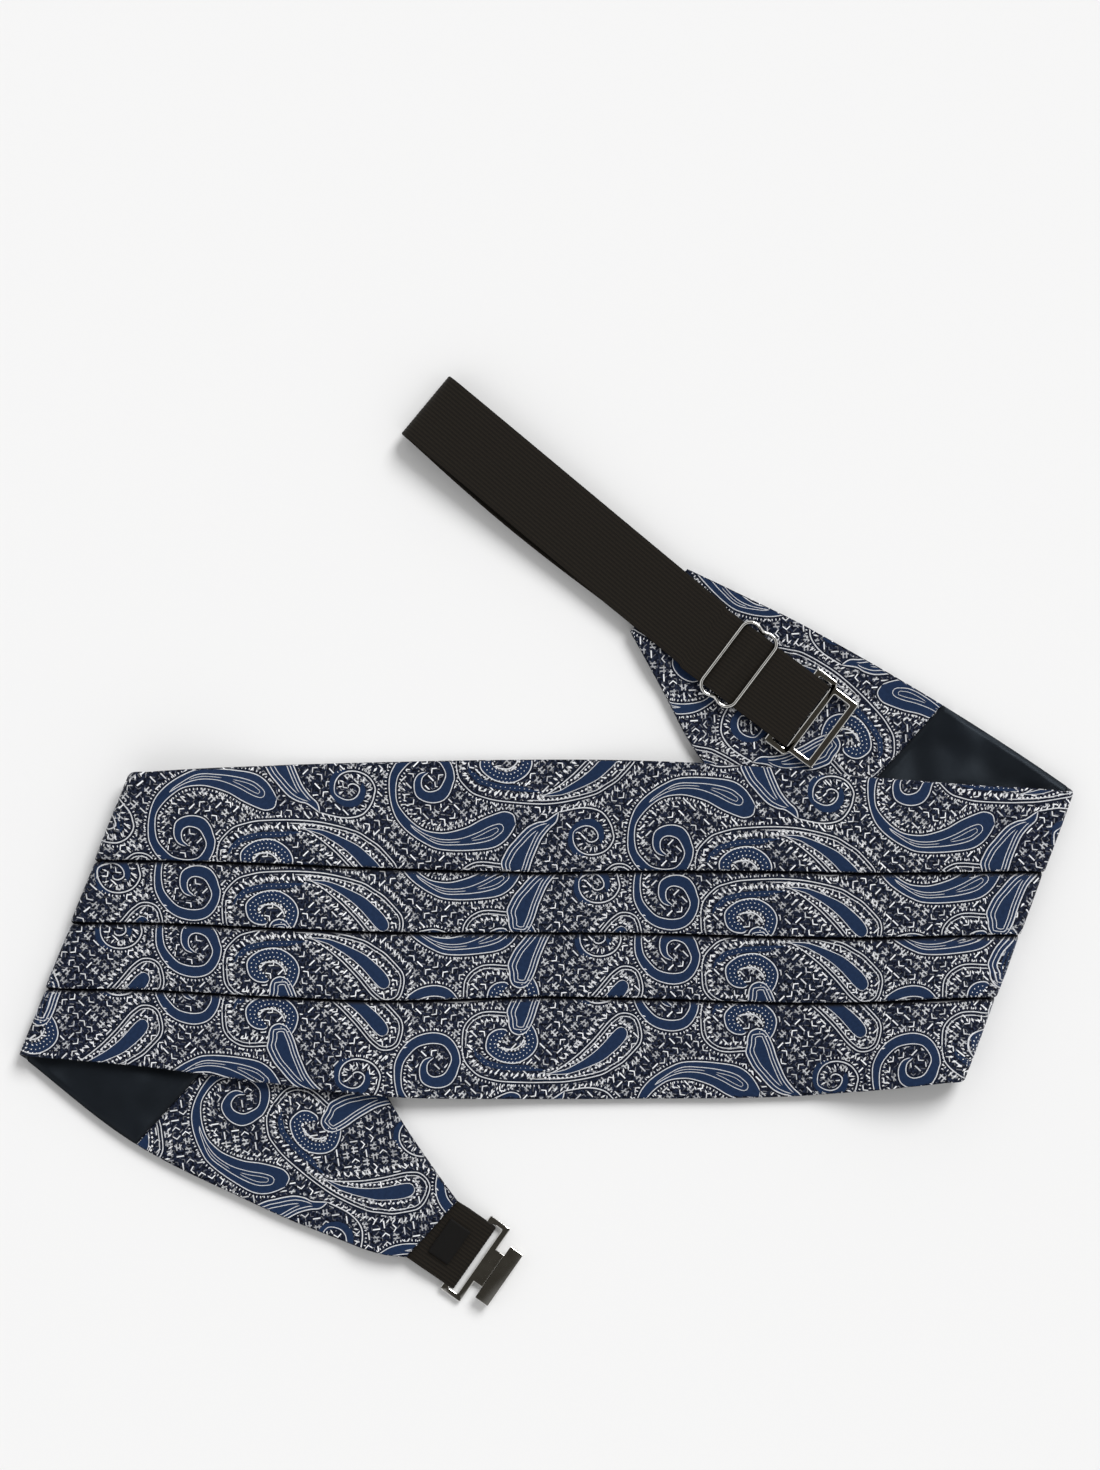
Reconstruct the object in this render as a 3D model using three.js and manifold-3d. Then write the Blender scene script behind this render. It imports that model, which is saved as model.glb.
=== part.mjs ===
// A pleated cummerbund, laid on a flat surface with both wings folded behind its front.
// Millimetres. +X runs along the front, +Y up the front, +Z away from the surface it lies on.
// The cloth is described by its flat cut, (s, t), with s along it and t across it, before it is folded.
import * as THREE from "three";
import { mergeVertices } from "three/addons/utils/BufferGeometryUtils.js";
import Module from "manifold-3d";

const wasm = await Module();
wasm.setup();

// Sizes of the cloth
const frontHeight = 127;
const foldSpan = 357;
const foldLean = THREE.MathUtils.degToRad(21.2);
const leftWingLength = 176;
const rightWingLength = 183.4;
const faceThickness = 1.2;
const pleatLift = 1.0;
const pleatEdgeWidth = 0.35;
const liningThickness = 1.0;
const facingThickness = 1.0;
const leftLiningReach = 73;
const rightLiningReach = 78.5;
const sharpFoldRadius = 1.7;
const bluntFoldRadius = 5;

// How softly the front comes down off a wing, and off a fold
const wingMargin = 4;
const wingRamp = 60;
const foldRamp = 45;

// Sizes of the elastic
const elasticWidth = 28;
const elasticThickness = 1.0;
const tuckDepth = 12;
const tuckRamp = 12;
const adjusterTurn = THREE.MathUtils.degToRad(2.5);
const adjusterLowerRun = 113.9;
const adjusterReturnTurn = THREE.MathUtils.degToRad(-0.25);
const adjusterSlideTurn = THREE.MathUtils.degToRad(2.7);
const adjusterBow = 1.5;
const farLoopRadius = 4.5;
const tabTurn = THREE.MathUtils.degToRad(7.4);
const tabClaspReach = 15.2;
const sewnWrapStart = THREE.MathUtils.degToRad(-80);
const sewnWrapEnd = THREE.MathUtils.degToRad(-335);
const dropLength = 15;
const tabDropLength = 8;

// Sizes of the label
const labelWidth = 15;
const labelLength = 9;
const labelThickness = 0.6;
const labelReach = 8.1;

// Sizes of the metal
const wireThickness = 1.4;
const slideLength = 16.3;
const slideLobeRadius = 3.9;
const slideSideClearance = 1.3;
const plateThickness = 1.2;
const plateCorner = 1.1;
const claspBar = 2.6;
const claspRail = 2.1;
const hookSlot = 4.0;
const neckWidth = 14.4;
const neckLength = 3.5;
const headWidth = 23.2;
const headLength = 5.7;
const hookThroat = 1.5;
const hookLip = 1.0;
const eyeClaspReach = 24.4;
const eyeStrapSlot = 5.7;
const eyeSlotLength = 7.0;
const eyeSlotWidth = 25;
const eyeRail = 2.4;
const eyeToFront = 0.75;
const eyeEndBar = 2.8;

// Gaps between pieces that touch, and beside the elastic in its metal
const clearance = 0.3;
const sideClearance = 0.6;

// Half heights of the cut cloth, as shares of half the front's height.
// along runs from the middle of the front to the fold, then from the fold to the wing's tip.
const frontEdges = {
  left: [
    { along: 0.032, top: 1.0, bottom: 1.0 },
    { along: 0.319, top: 0.987, bottom: 0.983 },
    { along: 0.576, top: 0.965, bottom: 0.904 },
    { along: 0.838, top: 0.928, bottom: 0.804 },
  ],
  right: [
    { along: 0.218, top: 0.993, bottom: 0.997 },
    { along: 0.468, top: 0.958, bottom: 0.989 },
    { along: 0.662, top: 0.904, bottom: 0.951 },
    { along: 0.87, top: 0.857, bottom: 0.88 },
  ],
};
const wingEdges = {
  left: [
    { along: 0.102, top: 0.857, bottom: 0.737 },
    { along: 0.407, top: 0.762, bottom: 0.668 },
    { along: 0.697, top: 0.575, bottom: 0.443 },
    { along: 0.823, top: 0.473, bottom: 0.321 },
    { along: 0.953, top: 0.39, bottom: 0.169 },
    { along: 1.0, top: 0.365, bottom: 0.077 },
  ],
  right: [
    { along: 0.1, top: 0.811, bottom: 0.81 },
    { along: 0.425, top: 0.662, bottom: 0.69 },
    { along: 0.74, top: 0.461, bottom: 0.52 },
    { along: 0.873, top: 0.35, bottom: 0.386 },
    { along: 1.0, top: 0.237, bottom: 0.26 },
  ],
};

// Where each pleat's folded edge lies, as a share of the cloth's height from its lower edge
const pleatEdges = [
  { left: 0, middle: 0, right: 0 },
  { left: 0.254, middle: 0.304, right: 0.274 },
  { left: 0.491, middle: 0.492, right: 0.488 },
  { left: 0.711, middle: 0.668, right: 0.708 },
  { left: 1, middle: 1, right: 1 },
];

// One pleat row, from its folded edge up to where the row above covers it, as shares of the lift.
// A wing lies on its pleats, which press them flat between their edges.
const rowProfile = [
  { up: 0, onFront: 1, onWing: 1 },
  { up: 0.4, onFront: 0.8, onWing: 1 },
  { up: 0.86, onFront: 0.3, onWing: 1 },
  { up: 1, onFront: 0, onWing: 0 },
];

// How finely the surfaces are divided
const frontSteps = 22;
const foldSteps = 8;
const wingSteps = 5;
const tipSteps = 8;
const pocketSteps = 2;
const dropSteps = 5;
const runSteps = 9;
const labelSteps = 4;
const arcStep = THREE.MathUtils.degToRad(22.5);
const wireSides = 8;

const { lerp, clamp } = THREE.MathUtils;

function easeBetween(low, high, x) {
  const share = clamp((x - low) / (high - low), 0, 1);
  return share * share * (3 - 2 * share);
}

// Levels of the layers above the surface
const outerThickness = faceThickness + pleatLift;
const wingLevel = outerThickness;
const frontLevel = liningThickness + clearance;
const overWingLevel = wingLevel + 2 * (clearance + liningThickness) + clearance;
const facingTop = wingLevel + clearance + facingThickness;

const leftSide = {
  sign: -1,
  wing: leftWingLength,
  liningReach: leftLiningReach,
  tuckedLayers: 2,
  name: "left",
};
const rightSide = {
  sign: 1,
  wing: rightWingLength,
  liningReach: rightLiningReach,
  tuckedLayers: 1,
  name: "right",
};
for (const side of [leftSide, rightSide]) {
  side.foldX = (side.sign * foldSpan) / 2;
  side.liningEnd = side.foldX + side.sign * side.liningReach;
  side.tip = side.foldX + side.sign * side.wing;
  side.tuckRise = side.tuckedLayers * (elasticThickness + clearance);
}

// The cut's edge rows, placed along the cloth from the left tip to the right tip
function placedRows(side) {
  const front = frontEdges[side.name].map((row) => ({ ...row, s: side.foldX * row.along }));
  const wing = wingEdges[side.name].map((row) => {
    return { ...row, s: side.foldX + side.sign * row.along * side.wing };
  });
  return [...front, ...wing];
}
const edgeRows = [...placedRows(leftSide), ...placedRows(rightSide)].sort((a, b) => a.s - b.s);

// A smooth curve through one column of the edge rows
function edgeAt(column, s) {
  const last = edgeRows.length - 1;
  let i = 0;
  while (i < last - 1 && edgeRows[i + 1].s < s) i++;
  const slopeAt = (k) => {
    const before = edgeRows[Math.max(k - 1, 0)];
    const after = edgeRows[Math.min(k + 1, last)];
    return (after[column] - before[column]) / (after.s - before.s);
  };
  const length = edgeRows[i + 1].s - edgeRows[i].s;
  const share = clamp((s - edgeRows[i].s) / length, 0, 1);
  const square = share * share;
  const cube = square * share;
  const value =
    edgeRows[i][column] * (2 * cube - 3 * square + 1) +
    edgeRows[i + 1][column] * (3 * square - 2 * cube) +
    slopeAt(i) * length * (cube - 2 * square + share) +
    slopeAt(i + 1) * length * (cube - square);
  return (value * frontHeight) / 2;
}

function acrossAt(s, share) {
  return lerp(-edgeAt("bottom", s), edgeAt("top", s), share);
}

// A point of the cut, seen from a fold line: off runs towards the front, and up runs along the line
function fromFold(side, s, t) {
  const run = s - side.foldX;
  return {
    off: -side.sign * (run * Math.cos(foldLean) - t * Math.sin(foldLean)),
    up: run * Math.sin(foldLean) + t * Math.cos(foldLean),
  };
}

function ontoPlan(side, off, up) {
  return new THREE.Vector2(
    side.foldX - side.sign * off * Math.cos(foldLean) + up * Math.sin(foldLean),
    side.sign * off * Math.sin(foldLean) + up * Math.cos(foldLean),
  );
}

// A fold is tight at its sharp corner and open at its blunt one, which is the left fold's upper end
function foldRadiusAt(side, up) {
  const share = clamp(0.5 - (side.sign * up) / frontHeight, 0, 1);
  return lerp(sharpFoldRadius, bluntFoldRadius, share * share);
}

function foldInsetAt(side, up) {
  return foldRadiusAt(side, up) + outerThickness;
}

// Height of the front's cloth: on the surface, over a wing, or coming down off a fold
function frontHeightAt(s, t) {
  let height = frontLevel;
  for (const side of [leftSide, rightSide]) {
    const { off, up } = fromFold(side, s, t);
    const under = ontoPlan(side, -off, up);
    const beyond = side.sign < 0 ? under.y - edgeAt("top", under.x) : -under.y - edgeAt("bottom", under.x);
    const overWing = 1 - easeBetween(wingMargin, wingMargin + wingRamp, beyond);
    const inset = foldInsetAt(side, up);
    const nearFold = 1 - easeBetween(inset, inset + foldRamp, off);
    const foldTop = wingLevel + 2 * foldRadiusAt(side, up);
    height += (overWingLevel - frontLevel) * overWing * (1 - nearFold);
    height += (foldTop - frontLevel) * nearFold;
  }
  return height;
}

// The folded place of a point of the cut, on the inner side of the face cloth
function foldedPoint(s, t) {
  const side = s < 0 ? leftSide : rightSide;
  const { off, up } = fromFold(side, s, t);
  const radius = foldRadiusAt(side, up);
  const inset = foldInsetAt(side, up);
  if (off >= inset) return new THREE.Vector3(s, t, frontHeightAt(s, t));
  if (off <= -inset) {
    const plan = ontoPlan(side, -off, up);
    return new THREE.Vector3(plan.x, plan.y, wingLevel);
  }
  const turn = ((1 - off / inset) * Math.PI) / 2;
  const plan = ontoPlan(side, inset - radius * Math.sin(turn), up);
  return new THREE.Vector3(plan.x, plan.y, wingLevel + radius * (1 + Math.cos(turn)));
}

// The direction from the lining out through the face cloth
function outwardAt(s, t) {
  const step = 0.4;
  const along = foldedPoint(s + step, t).sub(foldedPoint(s - step, t));
  const across = foldedPoint(s, t + step).sub(foldedPoint(s, t - step));
  return along.cross(across).normalize();
}

// Stations across the cloth: at(share) gives s, and onWing says how far the pleats are pressed flat
function foldStation(side, turnShare) {
  const at = (share) => {
    let s = side.foldX;
    for (let pass = 0; pass < 12; pass++) {
      const t = acrossAt(s, share);
      const off = foldInsetAt(side, fromFold(side, s, t).up) * (1 - 2 * turnShare);
      s = side.foldX + (t * Math.sin(foldLean) - side.sign * off) / Math.cos(foldLean);
    }
    return s;
  };
  return { at, onWing: turnShare };
}

function stationsBetween(first, last, steps) {
  const stations = [];
  for (let i = 1; i < steps; i++) {
    const at = (share) => lerp(first.at(share), last.at(share), i / steps);
    stations.push({ at, onWing: lerp(first.onWing, last.onWing, i / steps) });
  }
  return stations;
}

function straightStation(s) {
  return { at: () => s, onWing: 1 };
}

// From the lining's end on one wing to the fold's front side, in the order of a left side
function foldStations(side, liningEnd) {
  const foldEnd = foldStation(side, 1);
  const stations = [liningEnd, ...stationsBetween(liningEnd, foldEnd, wingSteps), foldEnd];
  for (let i = foldSteps - 1; i >= 0; i--) stations.push(foldStation(side, i / foldSteps));
  return stations;
}

function tipStations(side, start) {
  const tip = straightStation(side.tip);
  return [start, ...stationsBetween(start, tip, tipSteps), tip];
}

function clothStations(liningGap) {
  const [left, right] = [leftSide, rightSide].map((side) =>
    foldStations(side, straightStation(side.liningEnd - side.sign * liningGap)),
  );
  const middle = stationsBetween(left[left.length - 1], right[right.length - 1], frontSteps);
  return [...left, ...middle, ...right.reverse()];
}

// Columns along the cloth, one for each row of the pleat profile
const columns = [];
for (let row = 0; row + 1 < pleatEdges.length; row++) {
  for (const point of rowProfile) {
    const shareAt = (s) => {
      const sideName = s < 0 ? "left" : "right";
      const outward = Math.min(1, Math.abs(s / leftSide.foldX));
      const low = lerp(pleatEdges[row].middle, pleatEdges[row][sideName], outward);
      const high = lerp(pleatEdges[row + 1].middle, pleatEdges[row + 1][sideName], outward);
      const edge = point.up === 1 && high < 1 ? pleatEdgeWidth / (edgeAt("top", s) + edgeAt("bottom", s)) : 0;
      return lerp(low, high, point.up) - edge;
    };
    columns.push({ shareAt, onFront: point.onFront, onWing: point.onWing });
  }
}

// A closed grid of cloth between two offsets from the folded surface.
// offsets(station, column, s) gives [inner, outer], and outward is positive.
function clothSolid(stations, offsets) {
  const stationSteps = stations.length - 1;
  const columnSteps = columns.length - 1;
  const geometry = new THREE.BoxGeometry(1, 1, 1, stationSteps, columnSteps, 1);
  const position = geometry.attributes.position;
  for (let i = 0; i < position.count; i++) {
    const station = stations[Math.round((position.getX(i) + 0.5) * stationSteps)];
    const column = columns[Math.round((position.getY(i) + 0.5) * columnSteps)];
    let s = station.at(0.5);
    for (let pass = 0; pass < 4; pass++) s = station.at(column.shareAt(s));
    const t = acrossAt(s, column.shareAt(s));
    const [inner, outer] = offsets(station, column, s);
    const offset = position.getZ(i) > 0 ? outer : inner;
    const point = foldedPoint(s, t).addScaledVector(outwardAt(s, t), offset);
    position.setXYZ(i, point.x, point.y, point.z);
  }
  turnInnerDiagonals(geometry);
  return closed(geometry);
}

// Facing layers split their squares along the same diagonal, so that they stay parallel where they twist
function turnInnerDiagonals(geometry) {
  const inner = geometry.groups[5];
  const index = geometry.index;
  for (let i = inner.start; i < inner.start + inner.count; i += 6) {
    const [a, b, d, c] = [0, 1, 2, 4].map((k) => index.getX(i + k));
    [a, b, c, a, c, d].forEach((vertex, k) => index.setX(i + k, vertex));
  }
}

// A geometry whose shared points are merged, with its flat normals made again
function closed(geometry) {
  geometry.deleteAttribute("normal");
  geometry.deleteAttribute("uv");
  const merged = mergeVertices(geometry, 1e-4);
  merged.computeVertexNormals();
  return merged;
}

function toSolid(geometry) {
  const merged = closed(geometry);
  const vertProperties = new Float32Array(merged.attributes.position.array);
  return new wasm.Manifold(
    new wasm.Mesh({ numProp: 3, vertProperties, triVerts: new Uint32Array(merged.index.array) }),
  );
}

function fromSolid(solid) {
  const mesh = solid.getMesh();
  const geometry = new THREE.BufferGeometry();
  geometry.setAttribute("position", new THREE.BufferAttribute(mesh.vertProperties, 3));
  geometry.setIndex(new THREE.BufferAttribute(mesh.triVerts, 1));
  geometry.computeVertexNormals();
  return geometry;
}

const materials = {
  paisleySilk: new THREE.MeshStandardMaterial({ color: 0x3a4460, roughness: 0.5, metalness: 0 }),
  satinLining: new THREE.MeshStandardMaterial({ color: 0x1c2028, roughness: 0.4, metalness: 0 }),
  elastic: new THREE.MeshStandardMaterial({ color: 0x1c1812, roughness: 0.85, metalness: 0 }),
  label: new THREE.MeshStandardMaterial({ color: 0x17150f, roughness: 0.7, metalness: 0 }),
  nickel: new THREE.MeshStandardMaterial({ color: 0xc8c6c2, roughness: 0.18, metalness: 1 }),
};

const cummerbund = new THREE.Group();

function addPiece(name, geometry, material, frame) {
  const mesh = new THREE.Mesh(geometry, material);
  mesh.name = name;
  if (frame) {
    mesh.position.set(frame.origin.x, frame.origin.y, frame.level ?? 0);
    mesh.rotation.z = frame.heading;
  }
  cummerbund.add(mesh);
}

function addPleatedFront() {
  const inner = clothStations(0);
  const leftTip = tipStations(leftSide, inner[0]).reverse();
  const rightTip = tipStations(rightSide, inner[inner.length - 1]);
  const stations = [...leftTip.slice(0, -1), ...inner, ...rightTip.slice(1)];
  const offsets = (station, column) => {
    const lift = lerp(column.onFront, column.onWing, station.onWing);
    return [0, faceThickness + pleatLift * lift];
  };
  addPiece("pleated_front", clothSolid(stations, offsets), materials.paisleySilk);
}

function addLining() {
  const offsets = () => [-clearance - liningThickness, -clearance];
  addPiece("lining", clothSolid(clothStations(clearance / 2), offsets), materials.satinLining);
}

// A facing butts the lining and rises near the tip, over the elastic that is sewn in below it
function addFacing(side) {
  const start = straightStation(side.liningEnd + (side.sign * clearance) / 2);
  const stations = tipStations(side, start);
  if (side.sign < 0) stations.reverse();
  const offsets = (station, column, s) => {
    const fromTip = side.wing - Math.abs(s - side.foldX);
    const rise = side.tuckRise * (1 - easeBetween(tuckDepth + clearance, tuckDepth + tuckRamp, fromTip));
    return [-clearance - rise - facingThickness, -clearance - rise];
  };
  addPiece(side.name + "_wing_facing", clothSolid(stations, offsets), materials.paisleySilk);
}

// The middle of a wing's tip and the direction in which the wing points, on the plan
function tipFrame(side) {
  const middle = (edgeAt("top", side.tip) - edgeAt("bottom", side.tip)) / 2;
  const tip = foldedPoint(side.tip, middle);
  const inside = foldedPoint(side.tip - side.sign, middle);
  return { origin: new THREE.Vector2(tip.x, tip.y), heading: Math.atan2(tip.y - inside.y, tip.x - inside.x) };
}

function frameAlong(frame, along, turn = 0, level = 0) {
  const step = new THREE.Vector2(Math.cos(frame.heading), Math.sin(frame.heading)).multiplyScalar(along);
  return { origin: frame.origin.clone().add(step), heading: frame.heading + turn, level };
}

// Points of an arc on an elastic's side view, from one angle to another
function arcPoints(along, height, radius, from, to, side = 0) {
  const steps = Math.ceil(Math.abs(to - from) / arcStep);
  const points = [];
  for (let i = 0; i <= steps; i++) {
    const angle = lerp(from, to, i / steps);
    points.push({ along: along + radius * Math.cos(angle), height: height + radius * Math.sin(angle), side });
  }
  return points;
}

// Points of a run from one level to another, with a bow to one side
function runPoints(from, to, steps, bow = 0) {
  const points = [];
  for (let i = 0; i <= steps; i++) {
    const share = i / steps;
    const along = lerp(from.along, to.along, share);
    points.push({
      along,
      height: lerp(from.height, to.height, easeBetween(0, 1, share)),
      side: bow * Math.sin(Math.PI * share),
    });
  }
  return points;
}

// A flat band whose middle follows the points, where place(along, side) gives a point of the plan
function bandSolid(points, width, thickness, place) {
  const path = points.filter((point, i) => {
    const before = points[i - 1];
    return !before || Math.hypot(point.along - before.along, point.height - before.height) > 1e-3;
  });
  const steps = path.length - 1;
  const geometry = new THREE.BoxGeometry(1, 1, 1, steps, 1, 1);
  const position = geometry.attributes.position;
  const direction = (from, to) =>
    new THREE.Vector2(to.along - from.along, to.height - from.height).normalize();
  for (let i = 0; i < position.count; i++) {
    const k = Math.round((position.getX(i) + 0.5) * steps);
    const before = direction(path[Math.max(k - 1, 0)], path[Math.max(k, 1)]);
    const after = direction(path[Math.min(k, steps - 1)], path[Math.min(k + 1, steps)]);
    const middle = before.clone().add(after).normalize();
    const reach = (position.getZ(i) * thickness) / middle.dot(before);
    const along = path[k].along - middle.y * reach;
    const height = path[k].height + middle.x * reach;
    const plan = place(along, path[k].side + position.getY(i) * (path[k].width ?? width));
    position.setXYZ(i, plan.x, plan.y, height);
  }
  return closed(geometry);
}

function placeOn(frame) {
  return (along, side) =>
    new THREE.Vector2(along, side).rotateAround(new THREE.Vector2(0, 0), frame.heading).add(frame.origin);
}

// Levels and places of the adjuster's layers, over the right wing's facing
const halfElastic = elasticThickness / 2;
const pocketLevel = wingLevel + clearance + halfElastic;
const slideLevel = facingTop + 3 * clearance + 2 * elasticThickness + wireThickness / 2;
const underSlideLevel = slideLevel - wireThickness / 2 - clearance - halfElastic;
const returnLevel = facingTop + clearance + halfElastic;
const eyeWrapRadius = plateThickness / 2 + clearance + halfElastic;
const eyePlateLevel = returnLevel + eyeWrapRadius;
const overTipLevel = facingTop + rightSide.tuckRise + clearance + halfElastic;
const slideBarOffset = (slideLength - wireThickness) / 2;
const slideWireAcross = elasticWidth / 2 + slideSideClearance + wireThickness / 2;
const slideLobeAlong = slideBarOffset - slideLobeRadius;
const slideLobeAcross = slideWireAcross - slideLobeRadius;
const slideNotchAcross = slideLobeAcross + Math.sqrt(slideLobeRadius ** 2 - slideLobeAlong ** 2);
const eyeHalf = eyeSlotWidth / 2 + eyeRail;
const eyeClaspLength = eyeClaspReach + 2 * claspBar + eyeStrapSlot + eyeSlotLength + eyeEndBar;
const eyeLoopEnd = eyeClaspReach + claspBar + eyeStrapSlot - clearance;

// The far loop lies at the strap's outer end, and along counts from there back to the clasp
const rightTipFrame = tipFrame(rightSide);
const lowerFrame = { origin: rightTipFrame.origin, heading: rightTipFrame.heading + adjusterTurn };
const farEnd = frameAlong(lowerFrame, adjusterLowerRun);
const returnFrame = { origin: farEnd.origin, heading: farEnd.heading + Math.PI - adjusterReturnTurn };
const slideReach = slideReachFrom(returnFrame);
const slideFrame = frameAlong(returnFrame, slideReach, adjusterSlideTurn, slideLevel);
const bendReach = slideLength;

// The slide's distance from the far loop, which leaves the eye clasp's near corner clear of the front's edge
function slideReachFrom(frame) {
  let reach = adjusterLowerRun;
  for (let pass = 0; pass < 20; pass++) {
    const slide = frameAlong(frame, reach, adjusterSlideTurn);
    const corner = placeOn(slide)(eyeClaspLength, -eyeHalf);
    reach += corner.y - edgeAt("top", corner.x) - eyeToFront;
  }
  return reach;
}

function placeAdjuster(along, side) {
  const turned = along - slideReach;
  if (turned > -bendReach) return placeOn(slideFrame)(turned, side);
  return placeOn(returnFrame)(along, side);
}

function adjusterPoints() {
  const tipAlong = adjusterLowerRun - leavingReach(adjusterTurn);
  const loopAlong = farLoopRadius + halfElastic;
  const floorLevel = halfElastic;
  const loopTop = floorLevel + 2 * farLoopRadius;
  const quarter = Math.PI / 2;
  const barAlong = slideReach;
  const humpRadius = wireThickness / 2 + clearance + elasticThickness + clearance + halfElastic;
  const wrapRadius = wireThickness / 2 + clearance + halfElastic;
  const underBar = slideBarOffset - wireThickness / 2;
  const drop = slideLevel - underSlideLevel;
  const slope = Math.atan2(drop, underBar) + Math.asin(humpRadius / Math.hypot(drop, underBar));
  const tucked = { along: tipAlong + tuckDepth, height: pocketLevel };
  const atTip = { along: tipAlong, height: pocketLevel };
  const onFloor = { along: tipAlong - dropLength, height: floorLevel };
  const loopFoot = { along: loopAlong, height: floorLevel };
  const loopHead = { along: loopAlong, height: loopTop };
  const overTip = { along: tipAlong - elasticThickness, height: overTipLevel };
  const eyeLoop = slideReach + eyeLoopEnd - eyeWrapRadius - halfElastic;
  const wrapWidth = Math.min(elasticWidth, 2 * (slideNotchAcross - wireThickness / 2 - clearance));
  const wrap = arcPoints(barAlong, slideLevel, wrapRadius, sewnWrapStart, sewnWrapEnd);
  return [
    ...runPoints(tucked, atTip, pocketSteps),
    ...runPoints(atTip, onFloor, dropSteps),
    ...runPoints(onFloor, loopFoot, runSteps, -adjusterBow),
    ...arcPoints(loopAlong, floorLevel + farLoopRadius, farLoopRadius, -quarter, -3 * quarter),
    ...runPoints(loopHead, overTip, runSteps),
    { along: barAlong - underBar - wireThickness, height: underSlideLevel, side: 0 },
    { along: barAlong - underBar, height: underSlideLevel, side: 0 },
    ...arcPoints(barAlong, slideLevel, humpRadius, quarter + slope, quarter - slope),
    { along: barAlong + underBar, height: underSlideLevel, side: 0 },
    { along: barAlong + underBar + wireThickness, height: underSlideLevel, side: 0 },
    { along: barAlong + eyeClaspReach - wireThickness, height: eyePlateLevel + eyeWrapRadius, side: 0 },
    ...arcPoints(eyeLoop, eyePlateLevel, eyeWrapRadius, quarter, -quarter),
    { along: barAlong + underBar, height: returnLevel, side: 0 },
    ...wrap.map((point) => ({ ...point, width: wrapWidth })),
  ];
}

function addAdjusterStrap() {
  const solid = bandSolid(adjusterPoints(), elasticWidth, elasticThickness, placeAdjuster);
  addPiece("adjuster_strap", solid, materials.elastic);
}

// How far past the middle of a wing's tip a turned band leaves the whole tip edge behind
function leavingReach(turn) {
  return (elasticWidth / 2) * Math.tan(Math.abs(turn)) + clearance;
}

// The hook's tab is a loop of elastic, sewn in at both ends
const leftTipFrame = tipFrame(leftSide);
const tabFrame = { origin: leftTipFrame.origin, heading: leftTipFrame.heading + tabTurn };
const tabWrapRadius = plateThickness / 2 + clearance + halfElastic;
const hookPlateLevel = halfElastic + tabWrapRadius;
const tabLoopAlong = tabClaspReach + claspBar;

function tabUpperLevel(along) {
  const pocketTop = pocketLevel + elasticThickness + clearance;
  const fall = easeBetween(leavingReach(tabTurn), tabClaspReach, along);
  return lerp(pocketTop, hookPlateLevel + tabWrapRadius, fall);
}

function tabUpperPoints(from, to, steps) {
  const points = [];
  for (let i = 0; i <= steps; i++) {
    const along = lerp(from, to, i / steps);
    points.push({ along, height: tabUpperLevel(along), side: 0 });
  }
  return points;
}

function addHookTab() {
  const quarter = Math.PI / 2;
  const tabLeaving = leavingReach(tabTurn);
  const tabStart = { along: tabLeaving, height: pocketLevel };
  const tabFoot = { along: tabDropLength, height: halfElastic };
  const points = [
    { along: -tuckDepth, height: pocketLevel, side: 0 },
    ...runPoints(tabStart, tabFoot, dropSteps),
    ...arcPoints(tabLoopAlong, hookPlateLevel, tabWrapRadius, -quarter, quarter),
    ...tabUpperPoints(tabClaspReach, tabLeaving, dropSteps),
    { along: -tuckDepth, height: tabUpperLevel(0), side: 0 },
  ];
  const solid = bandSolid(points, elasticWidth, elasticThickness, placeOn(tabFrame));
  addPiece("hook_tab", solid, materials.elastic);
}

function addLabel() {
  const lift = halfElastic + clearance + labelThickness / 2;
  const points = tabUpperPoints(labelReach - labelLength / 2, labelReach + labelLength / 2, labelSteps);
  for (const point of points) point.height += lift;
  addPiece("label", bandSolid(points, labelWidth, labelThickness, placeOn(tabFrame)), materials.label);
}

// A closed outline with its corners rounded
function roundedOutline(corners, radius, path = new THREE.Shape()) {
  corners.forEach((corner, i) => {
    const before = corners[(i + corners.length - 1) % corners.length];
    const after = corners[(i + 1) % corners.length];
    const entry = corner.clone().add(before.clone().sub(corner).setLength(radius));
    const exit = corner.clone().add(after.clone().sub(corner).setLength(radius));
    if (i === 0) path.moveTo(entry.x, entry.y);
    else path.lineTo(entry.x, entry.y);
    path.quadraticCurveTo(corner.x, corner.y, exit.x, exit.y);
  });
  path.closePath();
  return path;
}

function boxCorners(x0, x1, halfWidth) {
  return [
    new THREE.Vector2(x0, -halfWidth),
    new THREE.Vector2(x1, -halfWidth),
    new THREE.Vector2(x1, halfWidth),
    new THREE.Vector2(x0, halfWidth),
  ];
}

function plateSolid(shape) {
  const options = { depth: plateThickness, bevelEnabled: false, curveSegments: 3 };
  const geometry = new THREE.ExtrudeGeometry(shape, options);
  return geometry.translate(0, 0, -plateThickness / 2);
}

const strapSlotHalf = elasticWidth / 2 + sideClearance;
const holeCorner = plateCorner / 2;

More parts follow.
